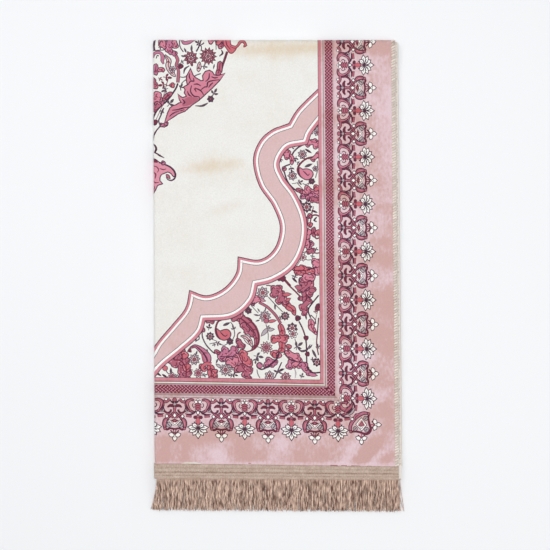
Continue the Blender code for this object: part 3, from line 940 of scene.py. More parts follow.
sideCornerFronds = (
    ([192, 160, 196, 166, 196, 174], (5, 6, 3), 1, "pink"),
    ([202.4, 208.6, 211, 213], (4.6, 5.4), 1, "rose"),
    ([215.6, 248, 214.6, 254, 216, 260], (7, 6, 4), 1, "rose"),
    ([227, 262, 226, 268, 227, 275], (3, 6.4, 4), 1, "rose"),
)
sideCornerLobes = (
    ("pink", ((219, 141.6, 3), (218.6, 146, 3.4), (223.6, 143, 3.2), (229, 143, 4.2),
              (229.8, 148.4, 3.8), (233.4, 144, 3.4), (186.7, 158.6, 3.2), (191, 157, 3),
              (189, 163.8, 3.2), (226, 167, 2.8), (232.6, 160.6, 3.4), (217.4, 207.7, 3.8),
              (215.6, 214.2, 4.8), (221, 212, 3.8), (231.7, 213.4, 4.2), (217.2, 268.7, 5.4),
              (216.4, 277, 4.4), (214.6, 285.5, 4.4), (222, 284.8, 3.8), (219, 291, 3.2))),
    ("mauve", ((229, 219.4, 4.2), (219, 221.4, 3.8), (224, 216.4, 3.8), (211, 219, 3.4))),
    ("rose", ((185.3, 180.4, 2.6), (224.2, 223, 3.8), (231, 224, 3.8), (220.6, 246.4, 3.2),
              (219, 296, 3), (224.6, 294.4, 3.4))),
    ("coral", ((230.4, 207, 4.2), (221.2, 258.4, 3), (232, 269.6, 4), (199.8, 319, 3.4),
               (210, 319.8, 5.4), (202.2, 325, 3.2), (206.4, 325, 3.8), (212.6, 325.8, 4.4),
               (219, 321, 3.8), (226.2, 324, 4.4))),
    ("pink", ((227, 309.6, 4.4), (232, 310.4, 4.4), (229.4, 316.2, 4.4), (232, 324, 4.8),
              (215.6, 332, 5.6), (223, 331.4, 4.8), (210, 335, 3.6))),
    ("wine", ((178, 333, 3), (182.4, 333.4, 3.4))),
)
sideCornerBlooms = (
    ((231.8, 120), 4.4, 6, "grey"), ((231.8, 129.5), 4.4, 6, "grey"), ((211, 160), 5.8, 8, "grey"),
    ((196.7, 190), 6, 7, "grey"), ((229, 180), 3.6, 6, "grey"), ((224, 197.7), 4, 6, "smoke"),
    ((216.4, 233.5), 7.2, 8, "smoke"), ((210.8, 304), 4.6, 7, "blush"),
)
sideCornerLeaves = (
    ((214.5, 152.4), (224.5, 158.6), 3.2, "plum"), ((213.6, 178), (225.6, 173), 4, "smoke"),
    ((210, 228), (206, 222), 2.4, "plum"), ((218, 226), (222, 221.4), 2.4, "plum"),
    ((223, 238), (232, 241.6), 3, "plum"), ((195, 331.6), (203, 339.4), 3.2, "plum"),
    ((223, 128.6), (226.4, 132.4), 1.8, "plum"), ((209, 236), (203, 233), 2.4, "plum"),
)
sideCornerSprigs = (
    ((198, 149.6), 8, -15, "smoke"), ((201.7, 166.6), 8, 100, "plum"), ((195.3, 180.6), 9, 80, "plum"),
    ((207.4, 199), 9, -30, "plum"), ((229.5, 292.4), 6, 20, "smoke"), ((199, 330.6), 8, 200, "smoke"),
    ((205, 172), 6, 120, "smoke"), ((181, 168), 6, 90, "smoke"), ((212.4, 243), 6, 90, "smoke"),
    ((180, 190), 6, 70, "smoke"), ((224, 302), 6, 10, "smoke"),
)


def drawPlants(pen, vines, fronds, lobes, blooms, leaves, sprigs):
    for path, width, ink in vines:
        pen.line(path, width, ink)
    for spine, breadths, count, ink in fronds:
        pen.frond(spine, breadths, count, ink)
    for ink, spots in lobes:
        pen.lobes(spots, ink)
    for base, tip, breadth, ink in leaves:
        edge = "plum" if ink not in ("plum", "smoke", "wine") else None
        pen.leaf(base, tip, breadth, ink, edge=edge, rim=0.7)
    for spot, radius, petals, ink in blooms:
        pen.rosette(spot, radius, petals, ink, turn=spot[0] * 37)
    for spot, length, turn, ink in sprigs:
        pen.sprig(spot, length, turn, ink)


def drop(pen, ink, outline, hook):      # a large drop that curls in on itself
    pen.blob(outline, ink, rim=1.1)
    pen.line(hook, (0.8, 1.6, 1.4, 0.8), "plum")


def drawCorner(pen):        # the flowering corner inside the scallops
    pen.line([149, 366.4, 158.7, 371.7, 166, 378, 173, 386, 179, 396], 2.4, "rose", "plum", 0.7)
    drawPlants(pen, lowCornerVines, lowCornerFronds, lowCornerLobes, lowCornerBlooms, lowCornerLeaves,
               lowCornerSprigs)
    drawPlants(pen, sideCornerVines, sideCornerFronds, sideCornerLobes, sideCornerBlooms,
               sideCornerLeaves, sideCornerSprigs)
    drop(pen, "coral", [89.8, 404, 94, 407, 99, 405.4, 105, 405, 108.8, 410.3, 106.6, 416, 100, 418.8,
                        94.4, 416.6, 91, 411], [94.6, 407.8, 98, 411.6, 101.7, 413.8, 104.6, 411.6])
    drop(pen, "pink", [207, 179.4, 211, 181.4, 216, 180.8, 221.8, 182.2, 225.4, 187, 223, 192.4,
                       217.4, 195, 211.6, 192.8, 207.4, 187.8],
         [211.6, 183, 215.3, 186.4, 218.6, 189.4, 221, 187])
    pen.line([53, 430.8, 51, 434, 54.6, 435], (2.4, 3.4, 1.6), "wine", "plum", 0.5)
    pen.line([62, 429, 70, 436, 75, 445, 76, 451], (1, 1.6, 1.8, 1), "plum")
    pen.line([66, 433, 69.4, 441, 72.4, 450], (1, 2.2, 2.2), "rose")
    pen.line([82, 453, 74.4, 452, 69, 457, 72, 461.6, 76, 459], (4, 3.6, 3.4, 2.4, 1.2), "coral", "plum",
             0.8)
    pen.line([30, 446.8, 38, 447.4, 43.2, 452, 46.8, 460, 46.4, 472], 1.9, "wine")
    pen.line([40.5, 438.7, 42, 443, 41.4, 448], 1.3, "wine")
    pen.line([126.8, 385, 135.7, 391.2, 143.7, 400, 148, 411, 148, 421.6, 144.5, 428.6, 139.2, 433,
              131, 435.8], (1.4, 2.6, 3, 3, 2.6, 1.8), "wine")
    pen.line([124.4, 440, 126, 448, 124.6, 455, 131, 464], 1.4, "wine")
    pen.line([94, 442, 102, 442.5, 110, 442, 120, 444], 1.3, "plum")
    pen.leaf((126, 414.6), (138.4, 427.6), 1.2, "wine", bend=-0.1, edge=None)
    pen.dot((149.4, 454.4), 3.8, "mauve", "plum")
    pen.line([176.6, 436, 174, 444, 168, 450.4, 160, 456.6, 152, 460, 146, 457, 145.6, 452.4,
              149.4, 450.2, 152, 453.4], (1.6, 2.6, 2.6, 2.4, 2.4, 2, 1.8, 1.6, 1), "plum")
    pen.line([183.4, 436, 190, 445, 200, 449, 209, 450], (1.6, 1.8, 1.4), "plum")
    pen.line([214.6, 456, 220, 463, 226, 464.8, 236, 464], 2.2, "plum")
    pen.line([209.4, 335, 214, 338.4, 221, 336.6], 1.4, "wine")
    pen.line([196.6, 322.4, 205, 322, 215, 322.4], 1.8, "wine")
    pen.line([215.6, 321.8, 222, 319.6, 230, 317.4], 2, "plum")
    pen.line([219.6, 280.6, 221, 285, 220, 291], 2.2, "plum")
    pen.line([223, 263, 223.4, 268, 221.4, 273], 1.6, "wine")
    pen.dot((158.8, 392.2), 3.2, "rose", "plum")
    pen.dot((17.6, 458.3), 3.2, "coral", "plum")


medallionVines = (
    ([36.6, 61, 34.2, 67.4, 28.6, 76.2, 21.3, 85.8, 14, 92.2, 6.8, 100.2, 3.5, 107.4, 1, 116], 2.4,
     "plum"),
    ([-3, 16.4, 8, 16, 18, 15.2], 1.3, "plum"),
    ([4.4, 2, 4, 9, 4.6, 16], (3.4, 2.6, 2.4), "plum"),
    ([39, -4, 40, 9.8, 44.8, 17.6], 1.5, "plum"),
    ([72, -4, 66.5, 10.6, 62.8, 17], 2, "plum"),
    ([64, 7, 70, 10, 69.6, 16.4], 1.4, "plum"),
    ([74, 5.6, 67, 9.6], 1.4, "smoke"),
    ([88.8, 1, 90.6, 8, 90.8, 14.6], 1, "smoke"),
    ([98.2, 14.6, 99.8, 19.4, 95.2, 23.4], (1.2, 2.8, 1.2), "plum"),
    ([53, 36.4, 46.6, 41, 45, 47.6], (1, 3, 1), "smoke"),
    ([60, 51, 64.6, 48.8, 69, 47.4], 1.6, "smoke"),
    ([19.6, 64.4, 27, 63.6, 33.6, 61.8], 1.1, "wine"),
    ([40, 52, 44, 52.6, 50, 51.6], 1.3, "plum"),
    ([48, 56, 43, 60, 40.4, 66, 41, 71], 1.3, "smoke"),
    ([86, 76, 84, 82, 80, 86], 1.1, "smoke"),
    ([79, 88.4, 70.5, 92.4, 61, 92.4], (1, 3.4, 2.2, 1), "smoke"),
    ([17, 95.6, 13.4, 105, 9.8, 113.6, 11.6, 120.6, 6.6, 127.4, 3.6, 134, 2.4, 141], 1.8, "plum"),
    ([12, 121, 16.6, 122.2, 21.8, 120, 23, 115.6], 1.5, "plum"),
    ([6.8, 27, 8.4, 22.6, 10.4, 24], 1.4, "plum"),
)
medallionFronds = (
    ([19.6, 22.6, 23.8, 29, 23.6, 37, 27.8, 45.8, 32.8, 50.8], (1.6, 6, 6, 7, 2.6), 2, "blush"),
    ([6.6, 35, 6, 43, 6.8, 49.6], (5, 6, 4), 1, "mauve"),
    ([9, 42.6, 18, 42.6], (5, 5.6), 1, "pink"),
    ([15.6, 84.2, 22, 79, 28, 74], (4, 6.4, 5), 1, "rose"),
    ([67.4, 32, 66.4, 38, 65.8, 44], (1.8, 5.4, 3), 1, "blush"),
    ([96.6, 31, 95.2, 40, 92.8, 50], (6, 7.4, 6.4), 1, "rose"),
)
medallionLobes = (
    ("pink", ((14.8, 5.6, 4.8), (18.4, 9.4, 3.8), (30.4, 2.4, 4.2), (33.6, 8.8, 3.8), (8.4, 77.6, 4.8),
              (4.6, 81.4, 3.8), (10.8, 83.6, 4.2), (5, 88.4, 4.2), (83.6, 2.4, 4), (87.4, -1, 4))),
    ("mauve", ((24.4, 3.2, 4.2), (25.4, 9.8, 4.8), (23.8, 14.8, 4), (28, 18, 3.4), (32.4, 19.6, 3.2),
               (14, 89, 2.8))),
    ("rose", ((8.6, 91.6, 4.4), (4.4, 96.4, 4), (5.2, 65, 4), (2.6, 57, 3), (97.2, 9, 3.8))),
    ("coral", ((94, 4, 3.8), (99.6, 0, 4.2), (28.8, 63.8, 3))),
    ("wine", ((40.6, 37, 3), (4.6, 115.6, 3.2))),
    ("mauve", ((13.8, 119.4, 2.2), (17.4, 119.6, 2.2), (20.4, 117, 2))),
)
medallionBlooms = (
    ((29, 41.8), 4.4, 6, "grey"), ((82.6, 82.8), 4.4, 6, "smoke"), ((79.4, 23.4), 11, 13, "dusk"),
    ((79.4, 23.4), 6, 8, "coral"), ((55.2, 25.8), 9.4, 9, "dusk"), ((55.4, 27), 5.8, 7, "rose"),
)
medallionLeaves = (
    ((56, 17), (56.6, 7.6), 3.2, "smoke"), ((49, 18.6), (45.6, 11.6), 2.6, "smoke"),
    ((47, 24), (41, 22.6), 2.6, "smoke"), ((56, 33), (57, 37.6), 4, "wine"),
    ((88.4, 34), (86.4, 41.4), 2, "plum"),
)
medallionSprigs = (
    ((22, 53), 12, 5, "wine"), ((15.6, 63.6), 12, 170, "wine"), ((18.4, 70.6), 10, 150, "smoke"),
    ((74.2, 37.8), 8, 10, "smoke"), ((88, 74), 12, -60, "smoke"), ((26, 88.6), 13, -50, "smoke"),
    ((14, 101), 8, 110, "smoke"), ((41.6, 65.6), 8, -70, "smoke"), ((65, 5.4), 8, 200, "plum"),
    ((48.6, 52), 6, 180, "plum"), ((12.4, 55.4), 7, 30, "wine"), ((43, 31), 6, 60, "smoke"),
    ((12.6, 12), 6, 90, "plum"),
)


def drawMedallion(pen):     # a quarter of the middle medallion, and the pendant below it
    pen.line([106.4, 17, 102.8, 27.4, 99.2, 37, 97.4, 46], 2.2, "wine", "plum", 0.5)
    drawPlants(pen, medallionVines, medallionFronds, medallionLobes, medallionBlooms, medallionLeaves,
               medallionSprigs)
    pen.line([34.2, 22.6, 36.6, 29, 34.4, 36.2, 37.4, 42.6, 37.4, 50.6, 36.6, 60],
             (3.2, 3.4, 2.4, 2.8, 3.4, 3), "rose", "plum", 0.7)
    pen.line([2.6, 26, 4, 21, 8.4, 18.6, 13.2, 19.8, 15.8, 25, 15.2, 30, 17, 34.6],
             (1.8, 2.4, 2.6, 2.8, 4.4, 3.4, 0.8), "mauve", "plum", 0.7)
    pen.line([40.6, -1, 45.4, 5.6, 53.6, 4.4, 62, 0], (1.6, 2.4, 3.2, 2), "mauve", "plum", 0.7)
    # the large leaf along the edge
    pen.edged([102.4, 47.4, 94.7, 57, 85, 66.8, 74.6, 76.2, 65.6, 84.4, 56, 90.8, 46.4, 99.2, 36.6, 103,
               28.4, 108.6, 18.4, 116, 20.6, 110, 22.8, 102.6, 26.2, 95.6, 30, 92.6, 34.2, 91.6, 38, 89,
               42.4, 88, 39.2, 83.6, 36.6, 75.8, 39.6, 79.6, 43.2, 81.6, 49.6, 79.4, 46.2, 74, 47.6, 70,
               45.4, 66.4, 50.8, 63.4, 49.4, 57, 49.6, 51.2, 54.4, 41.8, 57.6, 49.8, 61, 53.6, 65, 55.6,
               69, 58, 73, 57.6, 72, 50.6, 75.6, 45, 81, 43.4, 85, 45.6, 87, 49.4, 91, 50.6, 95, 50.4],
              "pink", "plum", 1.2)
    pen.blob([49, 81, 58, 80, 66, 82.4, 57, 89.6, 44, 93, 43, 87], "rose", None)
    curls = (
        [51, 63, 54.4, 58, 59.2, 57.8, 58.4, 53.4],
        [53.2, 47, 52.8, 52, 55, 56.6],
        [56, 64, 54.4, 72, 59, 78.6, 66.4, 80, 66.6, 84],
        [60.8, 67.4, 69, 71.4, 73, 77.6],
        [68.8, 70.4, 74.4, 66, 77.8, 65.6, 78.8, 59.6, 86.6, 57, 95, 56],
        [81, 46.8, 80.2, 54, 75.6, 58.6],
        [59, 62.6, 64, 62, 69, 64.4],
        [43, 83, 46.4, 87.6, 43.6, 90],
        [28.6, 98.6, 36.6, 97.6, 44, 95.4, 52.6, 93.8],
        [24.6, 107.4, 30, 102.8, 38, 100, 46, 97.6],
        [50, 72, 52, 76.6, 56, 79.6],
        [86, 60, 82, 63.6, 80, 67],
        [84, 51.6, 88, 53.4, 93, 52.8],
    )
    for path in curls:
        pen.line(path, (1.2, 2, 1), "plum")
    pen.line([60, 68, 62.6, 73], (2.6, 1), "wine")
    pen.line([40, 99.6, 32, 103.4, 24, 110], (0.8, 1.6, 0.8), "mauve")
    # the leaf that hooks out over the field
    pen.blob([101, -6, 109.4, -6, 110.2, 3, 111.4, 8, 117.4, 10.8, 118.6, 12.8, 114, 18.4, 109.6, 18,
              105.6, 12, 101.6, 6], "coral", "wine", 1)
    pen.line([111, 9, 117.6, 11, 121.4, 8.8, 124.6, 4.8, 129, 4, 132.6, 8.4, 129, 10.2],
             (1.2, 2.2, 1.6, 2, 2, 1.8, 1), "coral", "wine", 0.8)
    pen.line([104, 1, 106, 8, 111, 14], (1.2, 1.6, 0.8), "wine")
    # pendant
    pen.blob([-5, 166, 1.4, 166.8, 5.6, 168.4, 10.2, 172, 20, 175.4, 26, 178.3, 30.4, 183, 32.6, 188,
              30.4, 190.4, 27, 186.4, 22.4, 184.2, 17.6, 186, 13.2, 188, 10.8, 192.4, 11, 198, 13.8, 201,
              8, 203, 5.4, 208, 1.6, 214.6, -5, 216], "petal", "plum", 1.2)
    pen.line([10.2, 172, 20, 175.2, 26.4, 178.4, 30.8, 183, 32.8, 188.6, 31.6, 193.6, 27, 196.6,
              21.8, 195, 20, 191.4], (1.2, 1.6, 2, 2.4, 2.6, 2.6, 2.2, 1.8, 1), "plum")
    pen.leaf((20.4, 188.6), (25, 193.6), 3.2, "rose")
    pen.lobes(((16, 172.2, 2.4),), "mauve")
    for path in ([2, 176, 7, 178, 9.6, 182, 7.6, 185.6], [2, 184, 5.6, 188, 5, 194],
                 [11, 180, 16, 181.6, 20, 180.4], [2.4, 197, 5.4, 200, 9.6, 199],
                 [1.6, 204, 4, 206, 3, 210]):
        pen.line(path, (0.8, 1.6, 0.8), "wine")
    pen.blob([1, 166.8, 6, 168.6, 8.4, 172, 2.4, 171], "wine", None)
    pen.line([1.6, 144.6, 5.4, 149, 6.4, 153.6, 4.2, 158], (1.2, 2.2, 2.8, 1.6), "plum")
    pen.line([4, 157.4, 11.2, 162, 17.4, 165.2], (1.6, 2.6, 0.8), "plum")
    pen.line([1, 150, 2.2, 158, 1.6, 166], (2.6, 2, 2), "plum")
    for y in (221, 231, 242, 254):
        pen.fill([(-1, y), (2.6, y), (2.6, y + 5), (-1, y + 5)], "grey")


printSettings = dict(
    outOfSquare=0.0117,     # how far the border runs down towards the side, at tiltFrom
    tiltFrom=478.0,
    bareFrom=594.5,         # the cloth is unprinted beyond this
    bareRise=6.0,           # and beyond less near bareSpot
    bareSpot=54.0,
    bareReach=18.0,
    sideEnd=360.0,          # past the side and the end of the cloth
    lengthEnd=640.0,
    hem=5.2,                # the side's plain edge
    marksAt=588.0,          # short dark marks along the end
    marks=((252, 10), (266, 8), (282, 12), (301, 6), (326, 9), (336, 6), (135, 4)),    # place, length
)


def drawPrint():
    inner, outer = [], []
    pen = Pen(inner, rim=1.2)
    pen.fill([(past, past), (700, past), (700, 900), (past, 900)], "cream")
    drawCorner(pen)
    # the open field covers what the corner's drawing runs over
    pen.fill(np.concatenate([scallops(fieldEdge), [(-40, 441), (-40, -40), (241, -40)]]), "cream")
    drawMedallion(pen)
    drawBand(pen)
    pen = Pen(outer)
    drawBorder(pen)
    far, end = printSettings["sideEnd"], printSettings["lengthEnd"]
    x = np.linspace(past, far, 60)
    near = np.exp(-((x - printSettings["bareSpot"]) / printSettings["bareReach"]) ** 4)
    bare = printSettings["bareFrom"] - printSettings["bareRise"] * near
    pen.fill(np.concatenate([np.stack([x, bare], 1), [(far, end), (past, end)]]), "cream")
    y = printSettings["marksAt"]
    for spot, length in printSettings["marks"]:
        pen.line([(spot - length / 2, y), (spot + length / 2, y)], 0.8, "dusk")
    hem = cloth["half"] - printSettings["hem"]
    pen.fill([(hem, past), (far, past), (far, end), (hem, end)], "hem")
    # the weave lies a little out of square in the fold
    for _, points in outer:
        tilt = (points[:, 1] / printSettings["tiltFrom"]) ** 2
        points[:, 1] += points[:, 0] * printSettings["outOfSquare"] * tilt
    for _, points in inner:
        slant = cloth["endSlant"] / cloth["widthAtEnd"] * ease(points[:, 1] / cloth["halfLength"])
        points[:, 1] -= points[:, 0] * slant
    return inner + outer


# from the drawn shapes to the mesh of the cloth
mesh = dict(
    end=cloth["halfLength"] - cloth["tapeOverhang"] + cloth["crossRun"] - cloth["crossDepth"],
    sideTurns=10,           # lines along the side fold, so that it turns evenly
    crossTurns=6,           # and on each side of the cross fold
    longest=9.0,
    shownGrid=6.0,          # places between the outlines of the print
    hiddenGrid=14.0,
    backGrid=16.0,
    foldStep=8.0,           # along the lines of the folds
    backFoldStep=16.0,
    nearSideFold=(8, 11, 15),
    nearCrossFold=(8.5, 10.2, 12.2, 15, 19, 25),
    flatRows=(32.0, 572.0),     # from the cross fold to the tape
    pressRows=(574.0, 591.0, 2.6),      # where the pile is pressed down under the tape
    underTape=(598.0, 605.0),
    shownTolerance=0.07,    # how closely the outlines are kept
    belowTolerance=0.28,
    hiddenTolerance=0.30,
    belowSmallest=9.0,      # the shapes left out on the layers that lie below
    hiddenSmallest=900.0,
)


def splitLong(path, longest, closed=True):
    ahead = np.roll(path, -1, axis=0)
    count = np.ceil(np.linalg.norm(ahead - path, axis=1) / longest).astype(int)
    if not closed:
        count[-1] = 1
    if count.max() <= 1:
        return path
    parts = [a + (b - a) * (np.arange(n) / n)[:, None] for a, b, n in zip(path, ahead, count) if n]
    return np.concatenate(parts)


class Lines:                # points and the edges between them, for the triangulation
    def __init__(self):
        self.points = []
        self.edges = []

    def add(self, path, closed=False):
        start, count = len(self.points), len(path)
        self.points.extend(Vector((float(x), float(y))) for x, y in path)
        last = count if closed else count - 1
        self.edges.extend((start + i, start + (i + 1) % count) for i in range(last))

    def triangles(self, low, high, ids=False):
        made = delaunay_2d_cdt(self.points, self.edges, [], 0, 1e-4, ids)
        places = np.array([tuple(v) for v in made[0]])
        faces = np.array([f for f in made[2]])
        middle = places[faces].mean(1)
        inside = ((middle > low) & (middle < high)).all(1)
        return places, faces[inside], made[3]


def insideShape(points, shape):     # which points lie inside a closed outline, overlaps included
    winding = np.zeros(len(points), int)
    px, py = points.T
    for (ax, ay), (bx, by) in zip(shape, np.roll(shape, -1, axis=0)):
        if ay == by:
            continue
        cross = (bx - ax) * (py - ay) - (px - ax) * (by - ay)
        winding += ((ay <= py) & (by > py) & (cross > 0)).astype(int)
        winding -= ((ay > py) & (by <= py) & (cross < 0)).astype(int)
    return winding != 0


def inkOf(spots, shapes):   # the last shape drawn over each spot gives its ink
    order = np.argsort(spots[:, 1])
    sortedSpots = spots[order]
    found = np.full(len(spots), -1)
    for ink, shape in reversed(shapes):
        low, high = shape.min(0), shape.max(0)
        first, last = np.searchsorted(sortedSpots[:, 1], (low[1], high[1]))
        rows = np.arange(first, last)
        across = sortedSpots[rows, 0]
        rows = rows[(found[rows] < 0) & (across >= low[0]) & (across <= high[0])]
        if len(rows):
            found[rows[insideShape(sortedSpots[rows], shape)]] = ink
    result = np.zeros(len(spots), int)
    result[order] = np.maximum(found, 0)
    return result


def thinned(path, tolerance):       # fewer points along a line, none further off than the tolerance
    keep = np.zeros(len(path), bool)
    keep[[0, -1]] = True
    spans = [(0, len(path) - 1)]
    while spans:
        first, last = spans.pop()
        if last - first < 2:
            continue
        whole = path[last] - path[first]
        offset = path[first + 1:last] - path[first]
        length = math.hypot(*whole)
        if length > 1e-6:
            away = np.abs(whole[0] * offset[:, 1] - whole[1] * offset[:, 0]) / length
        else:
            away = np.hypot(offset[:, 0], offset[:, 1])
        worst = int(away.argmax())
        if away[worst] > tolerance:
            keep[first + 1 + worst] = True
            spans += [(first, first + 1 + worst), (first + 1 + worst, last)]
    return path[keep]


def inkOutlines(shapes, tolerance):
    # The lines where one ink meets another over a quarter of the cloth.
    corner = np.array([cloth["half"], mesh["end"]])
    lines = Lines()
    lines.add([(0, 0), (corner[0], 0), corner, (0, corner[1])], True)
    for ink, shape in shapes:
        lines.add(np.round(splitLong(shape, mesh["longest"]), 3), True)
    places, faces = lines.triangles((0, 0), corner)[:2]
    ink = inkOf(places[faces].mean(1), shapes)
    sides = np.concatenate([faces[:, (0, 1)], faces[:, (1, 2)], faces[:, (2, 0)]])
    sides.sort(axis=1)
    key = sides[:, 0].astype(np.int64) * len(places) + sides[:, 1]
    order = np.argsort(key, kind="stable")
    key, sides, owner = key[order], sides[order], np.tile(ink, 3)[order]
    meets = np.flatnonzero((key[1:] == key[:-1]) & (owner[1:] != owner[:-1]))
    nextTo = {}
    for a, b in sides[meets].tolist():
        nextTo.setdefault(a, []).append(b)
        nextTo.setdefault(b, []).append(a)
    paths = []

    def follow(start, ahead):       # from a meeting point on to the next
        chain = [start, ahead]
        nextTo[start].remove(ahead)
        nextTo[ahead].remove(start)
        while chain[-1] not in knots and nextTo[chain[-1]]:
            ahead = nextTo[chain[-1]].pop()
            nextTo[ahead].remove(chain[-1])
            chain.append(ahead)
        path = thinned(places[chain], tolerance)
        if len(path) > 2 or chain[0] != chain[-1]:
            paths.append(path)

    knots = {spot for spot, others in nextTo.items() if len(others) != 2}
    for spot in knots:
        while nextTo[spot]:
            follow(spot, nextTo[spot][0])
    for spot in nextTo:
        if nextTo[spot]:
            follow(spot, nextTo[spot][0])
    return paths


def softNoise(x, y, size, seed):    # smooth blotches between -1 and 1, about size across
    chance = np.random.default_rng(seed)
    lattice = chance.uniform(-1, 1, (256, 256))
    gx, gy = x / size + 512, y / size + 512
    ix, iy = np.floor(gx).astype(int), np.floor(gy).astype(int)
    fx, fy = ease(gx - ix), ease(gy - iy)
    ix, iy, nextX, nextY = ix % 256, iy % 256, (ix + 1) % 256, (iy + 1) % 256
    top = between(lattice[ix, iy], lattice[nextX, iy], fx)
    low = between(lattice[ix, nextY], lattice[nextX, nextY], fx)
    return between(top, low, fy)


# Painted shade, mostly along the creases, folds and edges, where the pile lies the other way and looks
# warmer and darker:
# place, half length, half breadth, turn, strength. Below nought it is painted light, and looks cooler.
creaseShadingMarks = (
    (172, 14, 62, 11, 2, 0.55),
    (85, 176, 42, 9, 8, 0.55),
    (102, 236, 30, 6, 17, 0.2),
    (318, 18, 16, 7, 10, 0.6),
    (323, 234, 16, 3.5, 8, 0.75),
    (319, 281, 17, 7, -4, 0.85),
    (333, 363, 10, 18, 0, 0.45),
    (318, 411, 20, 8, 10, 0.45),
    (328, 429, 17, 8, 16, 0.75),
    (300, 150, 30, 10, 10, 0.25),
    (292, 11, 66, 7.5, 0, 0.8),
    (215, 13, 66, 9, 0, 0.16),
    (322, 14, 24, 6, 4, 0.25),
    (330, 520, 12, 26, 0, 0.35),
    (58, 554, 46, 7, 3, 0.7),
    (18, 571, 18, 4, 86, 0.9),
    (44, 574, 18, 5, 84, 0.75),
    (72, 576, 26, 18, 20, -0.35),
    (128, 566, 16, 8, 90, 0.3),
    (170, 552, 30, 7, 0, 0.35),
    (254, 581, 14, 9, 60, 0.35),
    (297, 577, 26, 7, 42, 1.00),
    (304, 566, 26, 8, 50, 0.6),
    (329, 581, 13, 5, 50, 0.8),
    (313, 580, 22, 4, 48, -0.6),
    (278, 574, 24, 7, 52, -0.5),
    (90, 575, 20, 10, 90, -0.3),
    (338, 598, 6, 14, 0, 0.5),
)


nap = dict(
    border=(232.0, 470.0),  # the printed margin starts here, from the middle lines
    outer=(290.0, 535.0),   # and its outer part here
    borderBlend=6.0,
    outerBlend=25.0,
    printEnd=586.0,
    marksEnd=588.0,
    blotches=(44.0, 17.0),  # large and small ones
    blotchShares=(0.62, 0.38),
    fieldWarmth=0.05,
    fieldBlotches=0.12,
    marginWarmth=0.27,
    marginBlotches=0.66,
    darker=0.10,            # towards the fringe, by this and in the outer part by that much more
    outerDarker=0.36,
    darkerFrom=60.0,
    darkerRun=320.0,
    hemFrom=5.4,
    hemBlend=1.2,
    hemCalm=0.8,
)


# Random tone of the pile and the printed margin's tint, plus painted shade along the creases and folds
def napToneAndShadeAt(x, y):
    creaseShading = 0.0
    wobble = 1.0 + 0.25 * softNoise(x, y, 13.0, 5)
    for atX, atY, long, broad, turn, strength in creaseShadingMarks:
        along, beside = turned(x - atX, atY - y, turn)
        creaseShading = creaseShading + strength * np.exp(-(along / long) ** 4 - (beside * wobble / broad) ** 2)

    def beyond(start, blend):
        return np.clip(ease((x - start[0]) / blend) + ease((y - start[1]) / blend), 0, 1)

    printed = beyond(nap["border"], nap["borderBlend"])
    printed = printed * (1.0 - ease((y - nap["printEnd"]) / nap["borderBlend"]))
    outer = beyond(nap["outer"], nap["outerBlend"])
    (largeSize, smallSize), (largeShare, smallShare) = nap["blotches"], nap["blotchShares"]
    large, small = softNoise(x, y * 1.6, largeSize, 3), softNoise(x, y, smallSize, 4)
    blotches = largeShare * large + smallShare * small
    darker = ease((y - nap["darkerFrom"]) / nap["darkerRun"])
    margin = nap["marginWarmth"] + (nap["darker"] + nap["outerDarker"] * outer) * darker
    hem = ease((x - cloth["half"] + nap["hemFrom"]) / nap["hemBlend"])
    margin = (margin + nap["marginBlotches"] * blotches) * (1.0 - nap["hemCalm"] * hem)
    field = nap["fieldWarmth"] + nap["fieldBlotches"] * blotches
    fade = 1.0 - ease((y - nap["marksEnd"]) / nap["borderBlend"])
    return creaseShading * fade + between(field, margin, printed)


def areaOf(shape):
    x, y = shape.T
    return abs((x * np.roll(y, -1) - y * np.roll(x, -1)).sum()) / 2


def sheetGrid(shownStep, hiddenStep):       # places all over the cloth, closer where it shows
    half = cloth["half"]
    places = []
    for handX, handY in hands:
        step = shownStep if handX > 0 else hiddenStep
        xs = np.concatenate([mesh["nearSideFold"], np.arange(20.0, half - 3, step), [half - 2.5]])
        flat, pressed = np.arange(*mesh["flatRows"], step), np.arange(*mesh["pressRows"])
        ys = np.concatenate([mesh["nearCrossFold"], flat, pressed, mesh["underTape"]])
        across, down = np.meshgrid(xs, ys)
        odd = down[:, 1::2]         # every other column lies a little lower, so that no long rows show
        odd += step * 0.3 * (odd < 560) * (odd > 40)
        places.append(np.stack([across.ravel() * handX, down.ravel() * handY], axis=1))
    return np.concatenate(places)


def foldLines(lines, step):
    half, end = cloth["half"], mesh["end"]
    reach = np.linspace(-1.0, 1.0, mesh["sideTurns"] + 1) * cloth["sideRun"]
    for x in cloth["foldAt"] + reach:
        lines.add([(x, y) for y in np.linspace(-end, end, int(2 * end / step))])
    reach = np.linspace(-1.0, 1.0, 2 * mesh["crossTurns"] + 1) * cloth["crossRun"]
    for y in reach:
        lines.add([(x, y) for x in np.linspace(-half, half, int(2 * half / step))])


def layoutForBaking(x, y, isFront):
    # Both detailed quarters side by side, and the rest in a strip above them.
    half, end = cloth["half"], mesh["end"]
    uv = np.zeros((*x.shape, 2))
    middleX, middleY = x.mean(1), y.mean(1)
    scale = 0.997 / (2 * half + 6)
    small = 0.09 / (half + 5)
    strip = 0.905               # the height where it starts
    top = isFront & (middleX > 0) & (middleY > 0)
    below = isFront & (middleX > 0) & (middleY <= 0)
    hidden = isFront & (middleX <= 0)
    back = ~isFront
    uv[top] = np.stack([x[top], y[top]], -1) * scale
    uv[below] = np.stack([x[below] + half + 4, -y[below]], -1) * scale
    uv[hidden] = np.stack([(y[hidden] + end) * small, -x[hidden] * small], -1) + (0.002, strip)
    uv[back] = np.stack([(y[back] + end) * small, (x[back] + half) * small / 2], -1) + (0.5, strip)
    return np.clip(uv, 0, 1)


